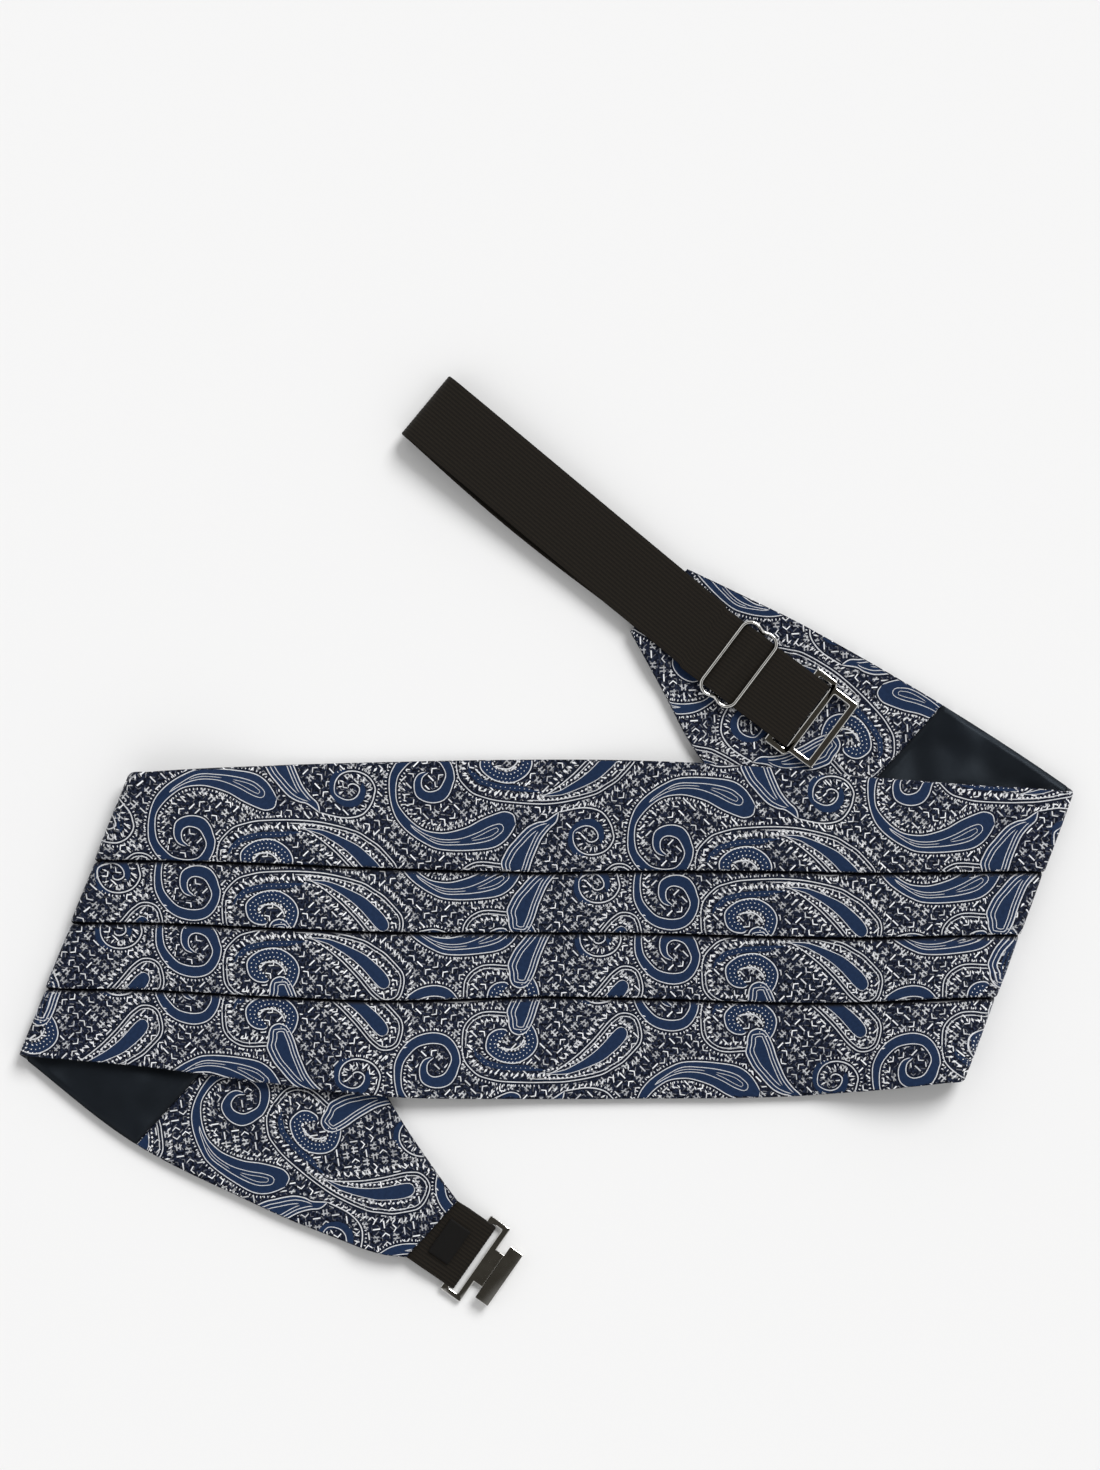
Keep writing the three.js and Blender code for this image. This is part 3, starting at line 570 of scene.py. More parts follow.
def silk_figure(name, dark, light, roughness, pitch=0.45):
    """Woven figure threads in one colour, with fine thread lines and slight variation."""
    material, nodes, links, shader = material_nodes(name)
    vector, u, v = cloth_place(nodes, links)
    blotch = add_noise(nodes, links, vector, 0.8)
    thread = thread_lines(nodes, links, add_math(nodes, links, "SUBTRACT", u, v), pitch)
    softened = add_math(nodes, links, "MULTIPLY", blotch, 0.65)
    mixed = add_math(nodes, links, "MULTIPLY_ADD", thread, 0.35, softened)
    colour = add_ramp(nodes, links, mixed, [(0.25, dark), (0.75, light)])
    links.new(groove_shade(nodes, links, colour), shader.inputs["Base Color"])
    add_bump(nodes, links, shader, thread, 0.35, 0.0001)
    shader.inputs["Roughness"].default_value = roughness
    shader.inputs["Specular IOR Level"].default_value = 0.07
    return material


def satin(settings):
    material, nodes, links, shader = material_nodes("satin_lining")
    vector, u, v = cloth_place(nodes, links)
    blotch = add_noise(nodes, links, vector, 0.06, 3.0)
    dark = tuple(0.6 * c for c in settings.lining)
    light = tuple(1.25 * c for c in settings.lining)
    links.new(add_ramp(nodes, links, blotch, [(0.3, dark), (0.7, light)]), shader.inputs["Base Color"])
    twill = thread_lines(nodes, links, add_math(nodes, links, "ADD", u, v), 0.4)
    crease = add_noise(nodes, links, vector, 0.035, 1.0)
    swell = add_math(nodes, links, "MULTIPLY", crease, 9.0)
    height = add_math(nodes, links, "MULTIPLY_ADD", twill, 0.04, swell)
    add_bump(nodes, links, shader, height, 0.8, 0.001)
    shader.inputs["Roughness"].default_value = 0.34
    shader.inputs["Specular IOR Level"].default_value = 0.26
    shader.inputs["Specular Tint"].default_value = (0.7, 0.85, 1.0, 1)
    return material


def elastic(settings):
    material, nodes, links, shader = material_nodes("woven_elastic")
    vector, u, v = cloth_place(nodes, links)
    blotch = add_noise(nodes, links, vector, 1.6, 3.0)
    pick = thread_lines(nodes, links, u, 0.55)
    rib = thread_lines(nodes, links, v, 1.4)
    softened = add_math(nodes, links, "MULTIPLY", blotch, 0.4)
    shade = add_math(nodes, links, "MULTIPLY_ADD", pick, 0.25, softened)
    shade = add_math(nodes, links, "MULTIPLY_ADD", rib, 0.35, shade)
    dark = tuple(0.35 * c for c in settings.elastic)
    light = tuple(2.3 * c for c in settings.elastic)
    links.new(add_ramp(nodes, links, shade, [(0.2, dark), (0.85, light)]), shader.inputs["Base Color"])
    add_bump(nodes, links, shader, pick, 0.5, 0.0001)
    shader.inputs["Roughness"].default_value = 0.75
    shader.inputs["Specular IOR Level"].default_value = 0.12
    shader.inputs["Sheen Weight"].default_value = 0.02
    return material


def label_cloth(settings):
    material, nodes, links, shader = material_nodes("label_cloth")
    _, u, v = cloth_place(nodes, links)
    weave = add_math(
        nodes, links, "MULTIPLY", thread_lines(nodes, links, u, 0.4), thread_lines(nodes, links, v, 0.3)
    )
    dark = tuple(0.7 * c for c in settings.label)
    light = tuple(1.6 * c for c in settings.label)
    links.new(add_ramp(nodes, links, weave, [(0.1, dark), (0.9, light)]), shader.inputs["Base Color"])
    add_bump(nodes, links, shader, weave, 0.4, 0.0001)
    shader.inputs["Roughness"].default_value = 0.6
    shader.inputs["Specular IOR Level"].default_value = 0.12
    return material


def nickel():
    material, nodes, links, shader = material_nodes("polished_nickel")
    place = nodes.new("ShaderNodeTexCoord").outputs["Object"]
    smudge = add_noise(nodes, links, place, 260.0, 3.0)
    links.new(
        add_ramp(nodes, links, smudge, [(0.3, (0.66, 0.65, 0.62)), (0.7, (0.8, 0.79, 0.76))]),
        shader.inputs["Base Color"],
    )
    rough = nodes.new("ShaderNodeMapRange")
    rough.inputs["To Min"].default_value = 0.07
    rough.inputs["To Max"].default_value = 0.13
    links.new(smudge, rough.inputs["Value"])
    links.new(rough.outputs[0], shader.inputs["Roughness"])
    add_bump(nodes, links, shader, add_noise(nodes, links, place, 500.0), 0.03, 0.0001)
    shader.inputs["Metallic"].default_value = 1.0
    return material


# The paisley repeat, charted

# Height of the dark margin beside each outline, under every figure, in millimetres
MARGIN_RELIEF = 0.02

# Chart units are 0.375 mm. u runs along the cloth and v down it, from the middle of the ring.
CHART = 0.375
REPEAT_U = 477.0
REPEAT_V = 131.5
GLIDE_U = 238.5
GLIDE_V = 69.0

RING_OUTER = [
    (88, -40.5), (84, -48), (78, -56), (70, -62), (61, -65), (49, -66.5), (35, -67.5), (21, -67.5),
    (9, -66), (-0.5, -62), (-11, -56), (-22, -47.5), (-30, -38), (-34.5, -28), (-37, -17.5),
    (-38, -7), (-37.5, 4), (-34, 13), (-29.5, 20), (-22.5, 27), (-12.5, 32), (0.5, 34), (12.5, 31),
    (20.5, 24), (25.5, 14), (27, 4), (25.5, -1), (22.5, -10), (16.5, -17.5), (7, -20.5), (-3.5, -19),
    (-11.5, -13), (-13, -1), (-9, 7), (-2, 10),
]
RING_INNER = [
    (88, -39), (86, -31), (79, -28), (72, -29), (55, -36), (39.5, -44.5), (21, -50), (9, -50.5),
    (-3.5, -48), (-14.5, -41), (-23.5, -32), (-30, -22), (-31.5, -11), (-31, -2), (-29, 5.5),
    (-23.5, 13), (-16, 20), (-7, 23), (2.5, 23.5), (11, 21), (17, 13), (18.5, 7), (16.5, 1),
    (12, -6.5), (5.5, -9.5), (-0.5, -9.5), (-5, -6), (-6, -0.5), (-4.5, 5), (1, 9.5),
]
ARM_UPPER = [
    (-17, -43), (-11, -49), (9, -61), (29, -62), (49, -60), (64, -56), (72, -50.5), (76, -46), (75.5, -42),
]
ARM_LOWER = [
    (-17, -43), (-11, -47), (1, -53.5), (15, -57), (32, -56), (49, -50), (62.5, -43), (72, -40), (75.5, -42),
]
BODY_OUTER = [
    (29, 19.5), (29.5, 12), (32, 4), (38, -3.5), (45.5, -10), (55, -13.5), (67, -16.5), (82.5, -18),
    (101, -19), (116, -19), (132, -18), (149.5, -15), (162, -12), (171, -9), (180, -3.5), (189.5, 2.5),
    (197, 10), (203, 16.5), (207, 22), (208.5, 29.5), (207, 38.5), (204, 46), (199, 50), (193, 51.5),
    (187, 51), (182.5, 48.5), (176, 43), (170, 36), (162.5, 27), (153, 17), (144, 8.5), (128, -4), (113, -13),
]
DROP_UPPER = [
    (112, -11), (131, -10.5), (143, -7.5), (157, -2), (169.5, 4), (179, 11.5), (186.5, 18.5), (191.5, 24.5),
    (194, 30), (193.5, 34.5), (190.5, 37),
]
DROP_LOWER = [
    (112, -11), (131, -6.5), (140, -2), (149.5, 3.5), (158, 9.5), (166, 16.5), (172.5, 23.5), (178, 30),
    (183, 35), (187, 37.5), (190.5, 37),
]
BODY_ARC = [
    (29, 19.5), (29.5, 31), (31, 38.5), (35.5, 45), (41.5, 49.5), (49, 52.5), (58.5, 53),
    (68, 52), (74.5, 51.5),
]
SHELL_RIGHT = [
    (52.5, 19), (54.5, 13), (61, 7), (70, 2.5), (82.5, 1), (93, 5), (101, 12), (104.5, 21), (102.5, 31),
    (98.5, 38.5),
]
SHELL_LEFT = [(52.7, 18.5), (54, 26), (57, 31), (63, 34.5), (71, 35), (74.5, 32.5)]
SHELL_HOOK = [(66, 17), (74, 15), (81.5, 15), (88, 19.5), (91, 25)]
SNAIL = [
    (159.5, -53.5), (160, -56.5), (164, -58), (168.5, -56.5), (171, -53), (169.5, -47.5), (165, -43),
    (158.5, -41.5), (152.5, -43), (147, -46.5), (145.5, -51), (146.5, -59), (151, -66), (158.5, -70),
    (168, -70.5), (177, -67.5), (183, -62), (186.5, -54.5), (185.5, -48), (184, -42), (180, -34.5),
    (174, -28), (165, -24.5), (154, -23.5), (143, -25), (131, -27.5),
]
CRESCENT_INNER = [
    (171, -53.5), (170, -49), (167, -44.7), (160.7, -42.2), (154.4, -43.5), (149, -47.6), (146.7, -53.5),
    (147.6, -60.7), (151.6, -66.5), (158, -69.8),
]
CRESCENT_OUTER = [
    (174, -60), (177, -52), (175, -43), (169, -36.5), (161, -34.5), (151.6, -36.5), (143.5, -44),
    (140.5, -53), (141.5, -62), (147, -69.5), (156, -72),
]
LEAF_LEFT = [
    (86, 29), (82.5, 30), (78.5, 32.5), (76, 38.5), (75.5, 46), (74, 52.5), (77, 60), (81.5, 68), (88, 75.5),
    (94, 82.5), (101.5, 89.5), (111, 94), (118.5, 95.5), (131, 104),
]
LEAF_RIGHT = [
    (86, 29), (92.5, 31), (97, 37), (101, 46), (104.5, 57), (109, 68), (114, 78.5), (121.5, 88), (129, 95),
    (131, 104),
]



def smooth_line(points, spacing):
    """A smooth curve through charted points, resampled evenly."""
    p = np.array(points, float)
    padded = np.vstack([2 * p[0] - p[1], p, 2 * p[-1] - p[-2]])
    share = np.linspace(0, 1, 9)[:-1, None]
    parts = []
    for i in range(len(p) - 1):
        a, b, c, d = padded[i:i + 4]
        parts.append(0.5 * (
            2 * b + (c - a) * share + (2 * a - 5 * b + 4 * c - d) * share**2
            + (3 * b - a - 3 * c + d) * share**3
        ))
    fine = np.vstack([*parts, p[-1:]])
    run = np.concatenate([[0], np.cumsum(np.linalg.norm(np.diff(fine, axis=0), axis=1))])
    count = max(3, int(round(run[-1] / spacing)) + 1)
    places = np.linspace(0, run[-1], count)
    return np.stack([np.interp(places, run, fine[:, 0]), np.interp(places, run, fine[:, 1])], axis=1)


def line_normals(line):
    along = np.gradient(line, axis=0)
    along /= np.maximum(np.linalg.norm(along, axis=1, keepdims=True), 1e-9)
    return np.stack([-along[:, 1], along[:, 0]], axis=1)


def beside(points, distance):
    """The line at a distance to the side of a charted one."""
    line = smooth_line(points, 3.0)
    return line + line_normals(line) * distance


def between(first, second, share):
    """The line a share of the way between two charted ones."""
    count = max(len(smooth_line(first, 3.0)), len(smooth_line(second, 3.0)))
    lines = []
    for points in (first, second):
        line = smooth_line(points, 3.0)
        places = np.linspace(0, 1, len(line))
        wanted = np.linspace(0, 1, count)
        lines.append(np.stack([np.interp(wanted, places, line[:, k]) for k in (0, 1)], axis=1))
    return lines[0] * (1 - share) + lines[1] * share


def nested(first, second, left_inset, right_inset):
    """A line inside a striped form: along one edge, round its end, and back along the other."""
    left, right = between(first, second, 0), between(first, second, 1)
    width = np.linalg.norm(left - right, axis=1)
    run = np.concatenate([[0], np.cumsum(np.linalg.norm(np.diff((left + right) / 2, axis=0), axis=1))])
    inset = (left_inset + right_inset) / 2
    kept = (width > 2 * inset + 1.6) | (inset == 0)
    kept = kept & (run >= inset)
    across = (right - left) / np.maximum(width, 1e-6)[:, None]
    left, right = left + across * left_inset, right - across * right_inset
    return np.vstack([left[kept][::-1], right[kept][1 if inset == 0 else 0:]])


class FigureSet:
    """Points (u, v, height) and four-cornered faces of woven figures, in chart units and millimetres."""

    def __init__(self):
        self.points = []
        self.faces = []
        self.count = 0

    def add(self, points, faces):
        self.points.append(np.asarray(points, float))
        self.faces.append(np.asarray(faces, int) + self.count)
        self.count += len(points)

    def thread(self, points, width, height=0.16, low=-0.03):
        """A raised thread along a line, with a crown between its two edges."""
        line = smooth_line(points, 2.6)
        side = line_normals(line) * width / 2
        count = len(line)
        taper = np.minimum(1, np.minimum(np.arange(count), np.arange(count)[::-1]) / 1.5 + 0.35)[:, None]
        rows = [
            np.column_stack([line - side * taper, np.full(count, low)]),
            np.column_stack([line, np.full(count, height)]),
            np.column_stack([line + side * taper, np.full(count, low)]),
        ]
        grid = np.stack(rows, axis=1)
        self.add(grid.reshape(-1, 3), grid_faces(count, 3))

    def fill(self, first, second, height, crown=0.05):
        """A woven area between two lines."""
        a, b = between(first, second, 0), between(first, second, 1)
        widest = np.linalg.norm(a - b, axis=1).max()
        rows = max(2, int(widest / 3.5)) + 1
        share = np.linspace(0, 1, rows)
        flat = a[:, None] * (1 - share[None, :, None]) + b[:, None] * share[None, :, None]
        rise = height + crown * np.sin(math.pi * share)
        grid = np.concatenate([flat, np.broadcast_to(rise[None, :, None], (*flat.shape[:2], 1))], axis=2)
        self.add(grid.reshape(-1, 3), grid_faces(len(a), rows))

    def stitches(self, points, pitch, long, wide, turn=0.0, height=0.2):
        """Short raised stitches along a line, turned from it."""
        line = smooth_line(points, pitch)
        side = line_normals(line)
        along = np.stack([side[:, 1], -side[:, 0]], axis=1)
        cos, sin = math.cos(turn), math.sin(turn)
        ahead = along * cos + side * sin
        across = side * cos - along * sin
        corners = []
        for x, y in ((-1, 0), (0, -1), (1, 0), (0, 1)):
            corners.append(line + ahead * x * long / 2 + across * y * wide / 2)
        ring = np.stack(corners, axis=1)
        ring = np.concatenate([ring, np.zeros((*ring.shape[:2], 1))], axis=2)
        crown = np.column_stack([line, np.full(len(line), height)])[:, None]
        cells = np.concatenate([ring, crown], axis=1)
        start = np.arange(len(line))[:, None] * 5
        faces = np.concatenate([start + np.array([[0, 1, 4, 4]]), start + np.array([[1, 2, 4, 4]]),
                                start + np.array([[2, 3, 4, 4]]), start + np.array([[3, 0, 4, 4]])])
        self.add(cells.reshape(-1, 3), faces)

    def arrays(self):
        return np.concatenate(self.points), np.concatenate(self.faces)


def paisley_figures():
    """The woven figures of half a repeat, by colour."""
    navy, silver, white = FigureSet(), FigureSet(), FigureSet()
    upright = math.pi / 2
    shell = [*SHELL_LEFT[::-1], *SHELL_RIGHT[1:]]
    for line in (RING_OUTER, RING_INNER, BODY_OUTER, BODY_ARC, SNAIL, shell, LEAF_LEFT, LEAF_RIGHT):
        navy.thread(line, 4.8, MARGIN_RELIEF, 0.01)
    # The ring and its striped arm
    navy.fill(RING_OUTER, RING_INNER, 0.04)
    silver.thread(RING_OUTER, 1.4)
    silver.thread(RING_INNER, 1.4)
    arm = (ARM_UPPER[::-1], ARM_LOWER[::-1])
    silver.thread(nested(*arm, 0, 0), 1.3, 0.22)
    silver.thread(nested(*arm, 3.4, 3.4), 1.0, 0.22)
    silver.thread(between(*arm, 0.5)[17:-8], 1.0, 0.22)
    white.stitches(beside(RING_OUTER[2:27], 3.5), 3.7, 2.9, 1.3, upright)
    white.stitches(beside(RING_INNER[2:16], -3.5), 3.7, 2.9, 1.3, upright)
    white.stitches(beside(RING_INNER[3:14], -8.0), 5.6, 4.4, 1.6, 0.9)
    # The body with its long drop
    silver.thread(BODY_OUTER, 1.4)
    silver.thread(beside(BODY_OUTER[8:31], 3.3), 1.0)
    outer, inner = beside(BODY_OUTER[:10], 11.5), beside(BODY_OUTER[:10], 17.0)
    place = np.arange(len(outer))
    narrowed = np.clip(np.minimum(place, place[::-1]) / 8, 0, 1)[:, None]
    navy.fill(outer, outer + (inner - outer) * narrowed, 0.04)
    white.stitches(beside(BODY_OUTER[:10], 7.2), 5.3, 5.0, 2.4, upright - 0.4)
    white.stitches(beside(BODY_OUTER[1:9], 14.2), 4.6, 1.8, 1.5, 0.4)
    white.stitches(beside(BODY_OUTER[1:9], 19.6), 3.9, 3.2, 1.4, 0.8)
    white.stitches(beside(BODY_OUTER[2:9], -3.4), 3.7, 2.8, 1.2, upright)
    white.stitches(beside(BODY_OUTER[9:22], -7.5), 6.0, 6.2, 1.7, 0.95)
    white.stitches(beside(BODY_OUTER[23:32], -7.4), 6.0, 5.6, 2.4, upright + 0.5)
    navy.fill(DROP_UPPER, DROP_LOWER, 0.05)
    silver.thread(DROP_UPPER, 1.0)
    silver.thread(DROP_LOWER, 1.0)
    white.stitches(beside(DROP_UPPER, -3.6), 4.4, 2.9, 2.3)
    white.stitches(beside(DROP_LOWER, 3.6), 4.4, 2.9, 2.3)
    silver.thread(BODY_ARC, 1.4)
    silver.thread(beside(BODY_ARC, -3.5), 1.0)
    white.stitches(beside(BODY_ARC, -8.2), 5.0, 4.6, 2.0, upright + 0.4)
    white.stitches(beside(BODY_ARC, 3.6), 4.2, 3.0, 1.4, upright)
    # The shell inside the body
    navy.fill(shell, beside(shell, 10.5), 0.04)
    silver.thread(shell, 1.6)
    white.stitches(beside(shell, 4.2), 4.1, 2.8, 1.7, 0.8)
    white.stitches(beside(shell, 8.4), 3.9, 2.8, 1.8, -0.8)
    white.stitches(beside(shell, 12.4), 3.6, 2.4, 1.6, 0.5)
    silver.thread(SHELL_HOOK, 1.6, 0.22)
    # The snail at the end of the leaf's stem
    navy.fill(CRESCENT_INNER, CRESCENT_OUTER, 0.04)
    silver.thread(SNAIL, 1.6)
    white.stitches(beside(SNAIL[9:22], 5.6), 5.8, 5.8, 1.6, upright - 0.25)
    white.stitches(beside(SNAIL[12:25], -3.5), 3.8, 2.8, 1.2, upright)
    # The striped leaf
    navy.fill(LEAF_LEFT, LEAF_RIGHT, 0.03)
    silver.thread(nested(LEAF_LEFT, LEAF_RIGHT, 0, 0), 1.5, 0.22)
    silver.thread(nested(LEAF_LEFT, LEAF_RIGHT, 4.2, 3.3), 1.3, 0.22)
    silver.thread(nested(LEAF_LEFT, LEAF_RIGHT, 8.2, 6.4), 1.3, 0.22)
    return {"navy": navy.arrays(), "silver": silver.arrays(), "white": white.arrays()}


def figure_copies(points, low_u, high_u, low_v, high_v):
    """Every copy of the half repeat that reaches into a window of the chart."""
    for mirrored in (False, True):
        u = points[:, 0] + (GLIDE_U if mirrored else 0)
        v = -points[:, 1] + GLIDE_V if mirrored else points[:, 1]
        first_n, last_n = math.floor((low_u - u.max()) / REPEAT_U), math.ceil((high_u - u.min()) / REPEAT_U)
        first_m, last_m = math.floor((low_v - v.max()) / REPEAT_V), math.ceil((high_v - v.min()) / REPEAT_V)
        for n in range(first_n, last_n + 1):
            for m in range(first_m, last_m + 1):
                yield u + n * REPEAT_U, v + m * REPEAT_V


# Where the ring's middle lies in each pleat row, along the chart of the whole front, and how far
# the row's folded edge lies below it. The lowest row is measured from the edge above it.
ROW_CHARTS = [
    SimpleNamespace(row=0, start=194.5, edge=2.0, from_line=1),
    SimpleNamespace(row=1, start=195.7, edge=48.9, from_line=1),
    SimpleNamespace(row=2, start=194.6, edge=37.7, from_line=2),
    SimpleNamespace(row=3, start=189.0, edge=24.7, from_line=3),
]
CHART_MIDDLE = 545.0


def chart_to_cut(chart, u, v):
    s = (chart.start + u - CHART_MIDDLE) * CHART
    return s, pleat_line(chart.from_line, s) - (v - chart.edge) * CHART


def cut_to_chart(chart, s, t):
    u = s / CHART + CHART_MIDDLE - chart.start
    return u, chart.edge + (pleat_line(chart.from_line, s) - t) / CHART


def kept_faces(points, faces, inside, plan):
    """Faces with a corner inside, turned to face out, with only the points they use."""
    kept = faces[inside[faces].any(axis=1)]
    corner = plan[kept]
    after = np.roll(corner, -1, axis=1)
    area = (corner[..., 0] * after[..., 1] - corner[..., 1] * after[..., 0]).sum(axis=1)
    kept, area = kept[np.abs(area) > 1e-4], area[np.abs(area) > 1e-4]
    kept = np.where((area < 0)[:, None], kept[:, ::-1], kept)
    used, place = np.unique(kept, return_inverse=True)
    return points[used], place.reshape(kept.shape)


def collect(parts):
    """Joins (points, faces, cloth) parts into one set, with three-cornered faces where corners coincide."""
    count, points, faces, cloth = 0, [], [], []
    for some_points, some_faces, some_cloth in parts:
        points.append(some_points)
        cloth.append(some_cloth)
        for face in (some_faces + count).tolist():
            corners = [c for i, c in enumerate(face) if c != face[i - 1]]
            if len(corners) > 2:
                faces.append(corners)
        count += len(some_points)
    return np.concatenate(points), faces, np.concatenate(cloth)


def margin_shade(height):
    """How dark a figure's point is: margins are darker than the figures above them."""
    return np.where((height > 0) & (height <= MARGIN_RELIEF), 0.75, 0.0)


def figures_on_front(points, faces):
    parts = []
    low_s, high_s = LEFT.tip + 0.6, RIGHT.tip - 0.6
    for chart in ROW_CHARTS:
        low_u = low_s / CHART + CHART_MIDDLE - chart.start
        high_u = high_s / CHART + CHART_MIDDLE - chart.start
        low_v, high_v = (-70, 60) if chart.row else (-4, 125)
        if chart.row == 3:
            low_v, high_v = -100, 26
        for u, v in figure_copies(points, low_u, high_u, low_v, high_v):
            s, t = chart_to_cut(chart, u, v)
            low, high = pleat_line(chart.row, s), pleat_line(chart.row + 1, s)
            high = high + (0.3 if chart.row < 3 else -0.3)
            inside = (t > low) & (t < high) & (s > low_s) & (s < high_s)
            if not inside.any():
                continue
            s, t = np.clip(s, low_s, high_s), np.clip(t, low, high)
            plan = np.stack([s, t], axis=1)
            some, part_faces = kept_faces(np.column_stack([plan, points[:, 2]]), faces, inside, plan)
            if not len(part_faces):
                continue
            placed = face_point(some[:, 0], some[:, 1], chart.row, some[:, 2])
            # Painted shade down in the groove under the pleat above; a margin keeps its own darker woven
            # tone.
            shade = painted_groove_shade(some[:, 0], some[:, 1], chart.row)
            shade = np.maximum(shade, margin_shade(some[:, 2]))
            parts.append((placed, part_faces, np.column_stack([some[:, :2], shade])))
    return collect(parts)


# Where the ring's middle lies on each facing, in millimetres on the plan, and how the chart is turned
FACING_CHARTS = {
    -1: SimpleNamespace(x=(239.4 - 545) * CHART, y=(929 - 1100.7) * CHART, turn=math.radians(-36.7)),
    1: SimpleNamespace(x=(919.2 - 545) * CHART, y=(929 - 773.9) * CHART, turn=math.radians(-222.4)),
}


def wing_cut(side, x, y):
    """The cut's place of a point of the plan, on a wing."""
    run = x - side.fold_x
    off = -side.sign * (run * COS_LEAN - y * SIN_LEAN)
    up = run * SIN_LEAN + y * COS_LEAN
    s = side.fold_x + side.sign * off * COS_LEAN + up * SIN_LEAN
    return s, -side.sign * off * SIN_LEAN + up * COS_LEAN


def facing_rise(side, s):
    from_tip = side.wing - np.abs(s - side.fold_x)
    return side.tuck_rise * (1 - ease(TUCK_DEPTH + GAP, TUCK_DEPTH + TUCK_RAMP, from_tip))


def facing_point(side, s, t, raised=0.0):
    offset = -GAP - facing_rise(side, s) - FACING_THICKNESS - raised
    return folded(s, t) + outward(s, t) * offset[..., None]


def facing_chart_place(side, x, y):
    chart = FACING_CHARTS[side.sign]
    dx, dy = x - chart.x, y - chart.y
    cos, sin = math.cos(chart.turn), math.sin(chart.turn)
    u = (dx * cos + dy * sin) / CHART - GLIDE_U
    v = (dx * sin - dy * cos) / CHART
    return u + 2 * GLIDE_U, v + GLIDE_V


def figures_on_facing(side, points, faces):
    chart = FACING_CHARTS[side.sign]
    cos, sin = math.cos(chart.turn), math.sin(chart.turn)
    parts = []
    start = side.lining_end + side.sign * 0.4
    low_s, high_s = sorted((start, side.tip - side.sign * 0.4))
    for u, v in figure_copies(points, -350, 700, -350, 350):
        along, down = (u - GLIDE_U) * CHART, (v - GLIDE_V) * CHART
        x = chart.x + along * cos + down * sin
        y = chart.y + along * sin - down * cos
        s, t = wing_cut(side, x, y)
        low, high = across_at(s, 0.0) + 0.3, across_at(s, 1.0) - 0.3
        inside = (t > low) & (t < high) & (s > low_s) & (s < high_s)
        if not inside.any():
            continue
        s = np.clip(s, low_s, high_s)
        t = np.clip(t, across_at(s, 0.0) + 0.3, across_at(s, 1.0) - 0.3)
        plan = np.stack([-s, t], axis=1)
        some, part_faces = kept_faces(np.column_stack([s, t, points[:, 2]]), faces, inside, plan)
        if not len(part_faces):
            continue
        placed = facing_point(side, some[:, 0], some[:, 1], some[:, 2])
        parts.append((placed, part_faces, np.column_stack([some[:, :2], margin_shade(some[:, 2])])))
    return collect(parts)


# Sheets of cloth

def stations_along(wing, fold, front):
    """Stations from tip to tip, with a count of them for each wing, each fold and the front."""
    return np.concatenate([
        np.linspace(0, 1, wing)[:-1], 1 + np.linspace(0, 1, fold)[:-1], 2 + np.linspace(0, 1, front)[:-1],
        3 + np.linspace(0, 1, fold)[:-1], 4 + np.linspace(0, 1, wing),
    ])


def pleated_face():
    """Grids of the face cloth: its visible side, its inner side, and each point's place on the chart, with
    its painted shade.
    """
    arc = np.radians(np.linspace(-90, 60, 6))
    ups = np.array([
        0.05, 0.12, 0.2, 0.28, 0.36, 0.44, 0.52, 0.6, 0.68, 0.76, 0.84, 0.9, 0.93, 0.955, 0.975, 0.99, 1.0,
    ])
    stations = stations_along(56, 25, 185)
    outer, inner, places = [], [], []
    for row in range(4):
        chart = ROW_CHARTS[row]
        for kind, value in [("lip", angle) for angle in arc] + [("up", up) for up in ups]:
            up = 0.0 if kind == "lip" else value
            share = row_share(row, up, stations)
            s = station_s(stations, share)
            for _ in range(3):
                low = pleat_share(row, s)
                share = low + (pleat_share(row + 1, s) - low) * up
                s = station_s(stations, share)
            if kind == "lip":
                visible = lip_foot(s, row, value)
                t = pleat_line(row, s) + LIP_RADIUS * (1 - math.cos(value))
            else:
                low, high = pleat_line(row, s), pleat_line(row + 1, s)
                t = np.maximum(low + (high - low) * up, low + LIP_RADIUS)
                visible = face_point(s, t, row)
            outer.append(visible)
            inner.append(folded(s, np.clip(t, across_at(s, 0.0), across_at(s, 1.0))))
            u, v = cut_to_chart(chart, s, t)
            # Painted shade: darker down in the groove under the pleat above, and fully dark on the underside
            # of each lip.
            shade = painted_groove_shade(s, t, row) if kind == "up" else np.full(np.shape(u), float(value < -1.0))
            places.append(np.stack([u * CHART, v * CHART, shade], axis=-1))
    return [np.stack(grid, axis=1) for grid in (outer, inner, places)]


def row_share(row, up, stations):
    return np.full(len(stations), PLEAT_EDGES[row][1] * (1 - up) + PLEAT_EDGES[row + 1][1] * up)


def station_s(stations, share):
    """The s of each station: tip, wing, fold, front, fold, wing, tip."""
    left_end = fold_station(LEFT, share, 1.0)
    left_start = fold_station(LEFT, share, 0.0)
    right_start = fold_station(RIGHT, share, 0.0)
    right_end = fold_station(RIGHT, share, 1.0)
    stops = np.stack([
        np.full(len(share), LEFT.tip), left_end, left_start, right_start, right_end,
        np.full(len(share), RIGHT.tip),
    ])
    i = np.clip(np.floor(stations).astype(int), 0, 4)
    part = stations - i
    column = np.arange(len(stations))
    return stops[i, column] * (1 - part) + stops[i + 1, column] * part


def flat_area(low_s, high_s):
    """The cut's area between two places along it, in square metres."""
    s = np.linspace(low_s, high_s, 400)
    height = edge_at(1, s) + edge_at(2, s)
    return float(((height[1:] + height[:-1]) / 2 * np.diff(s)).sum()) * MM * MM


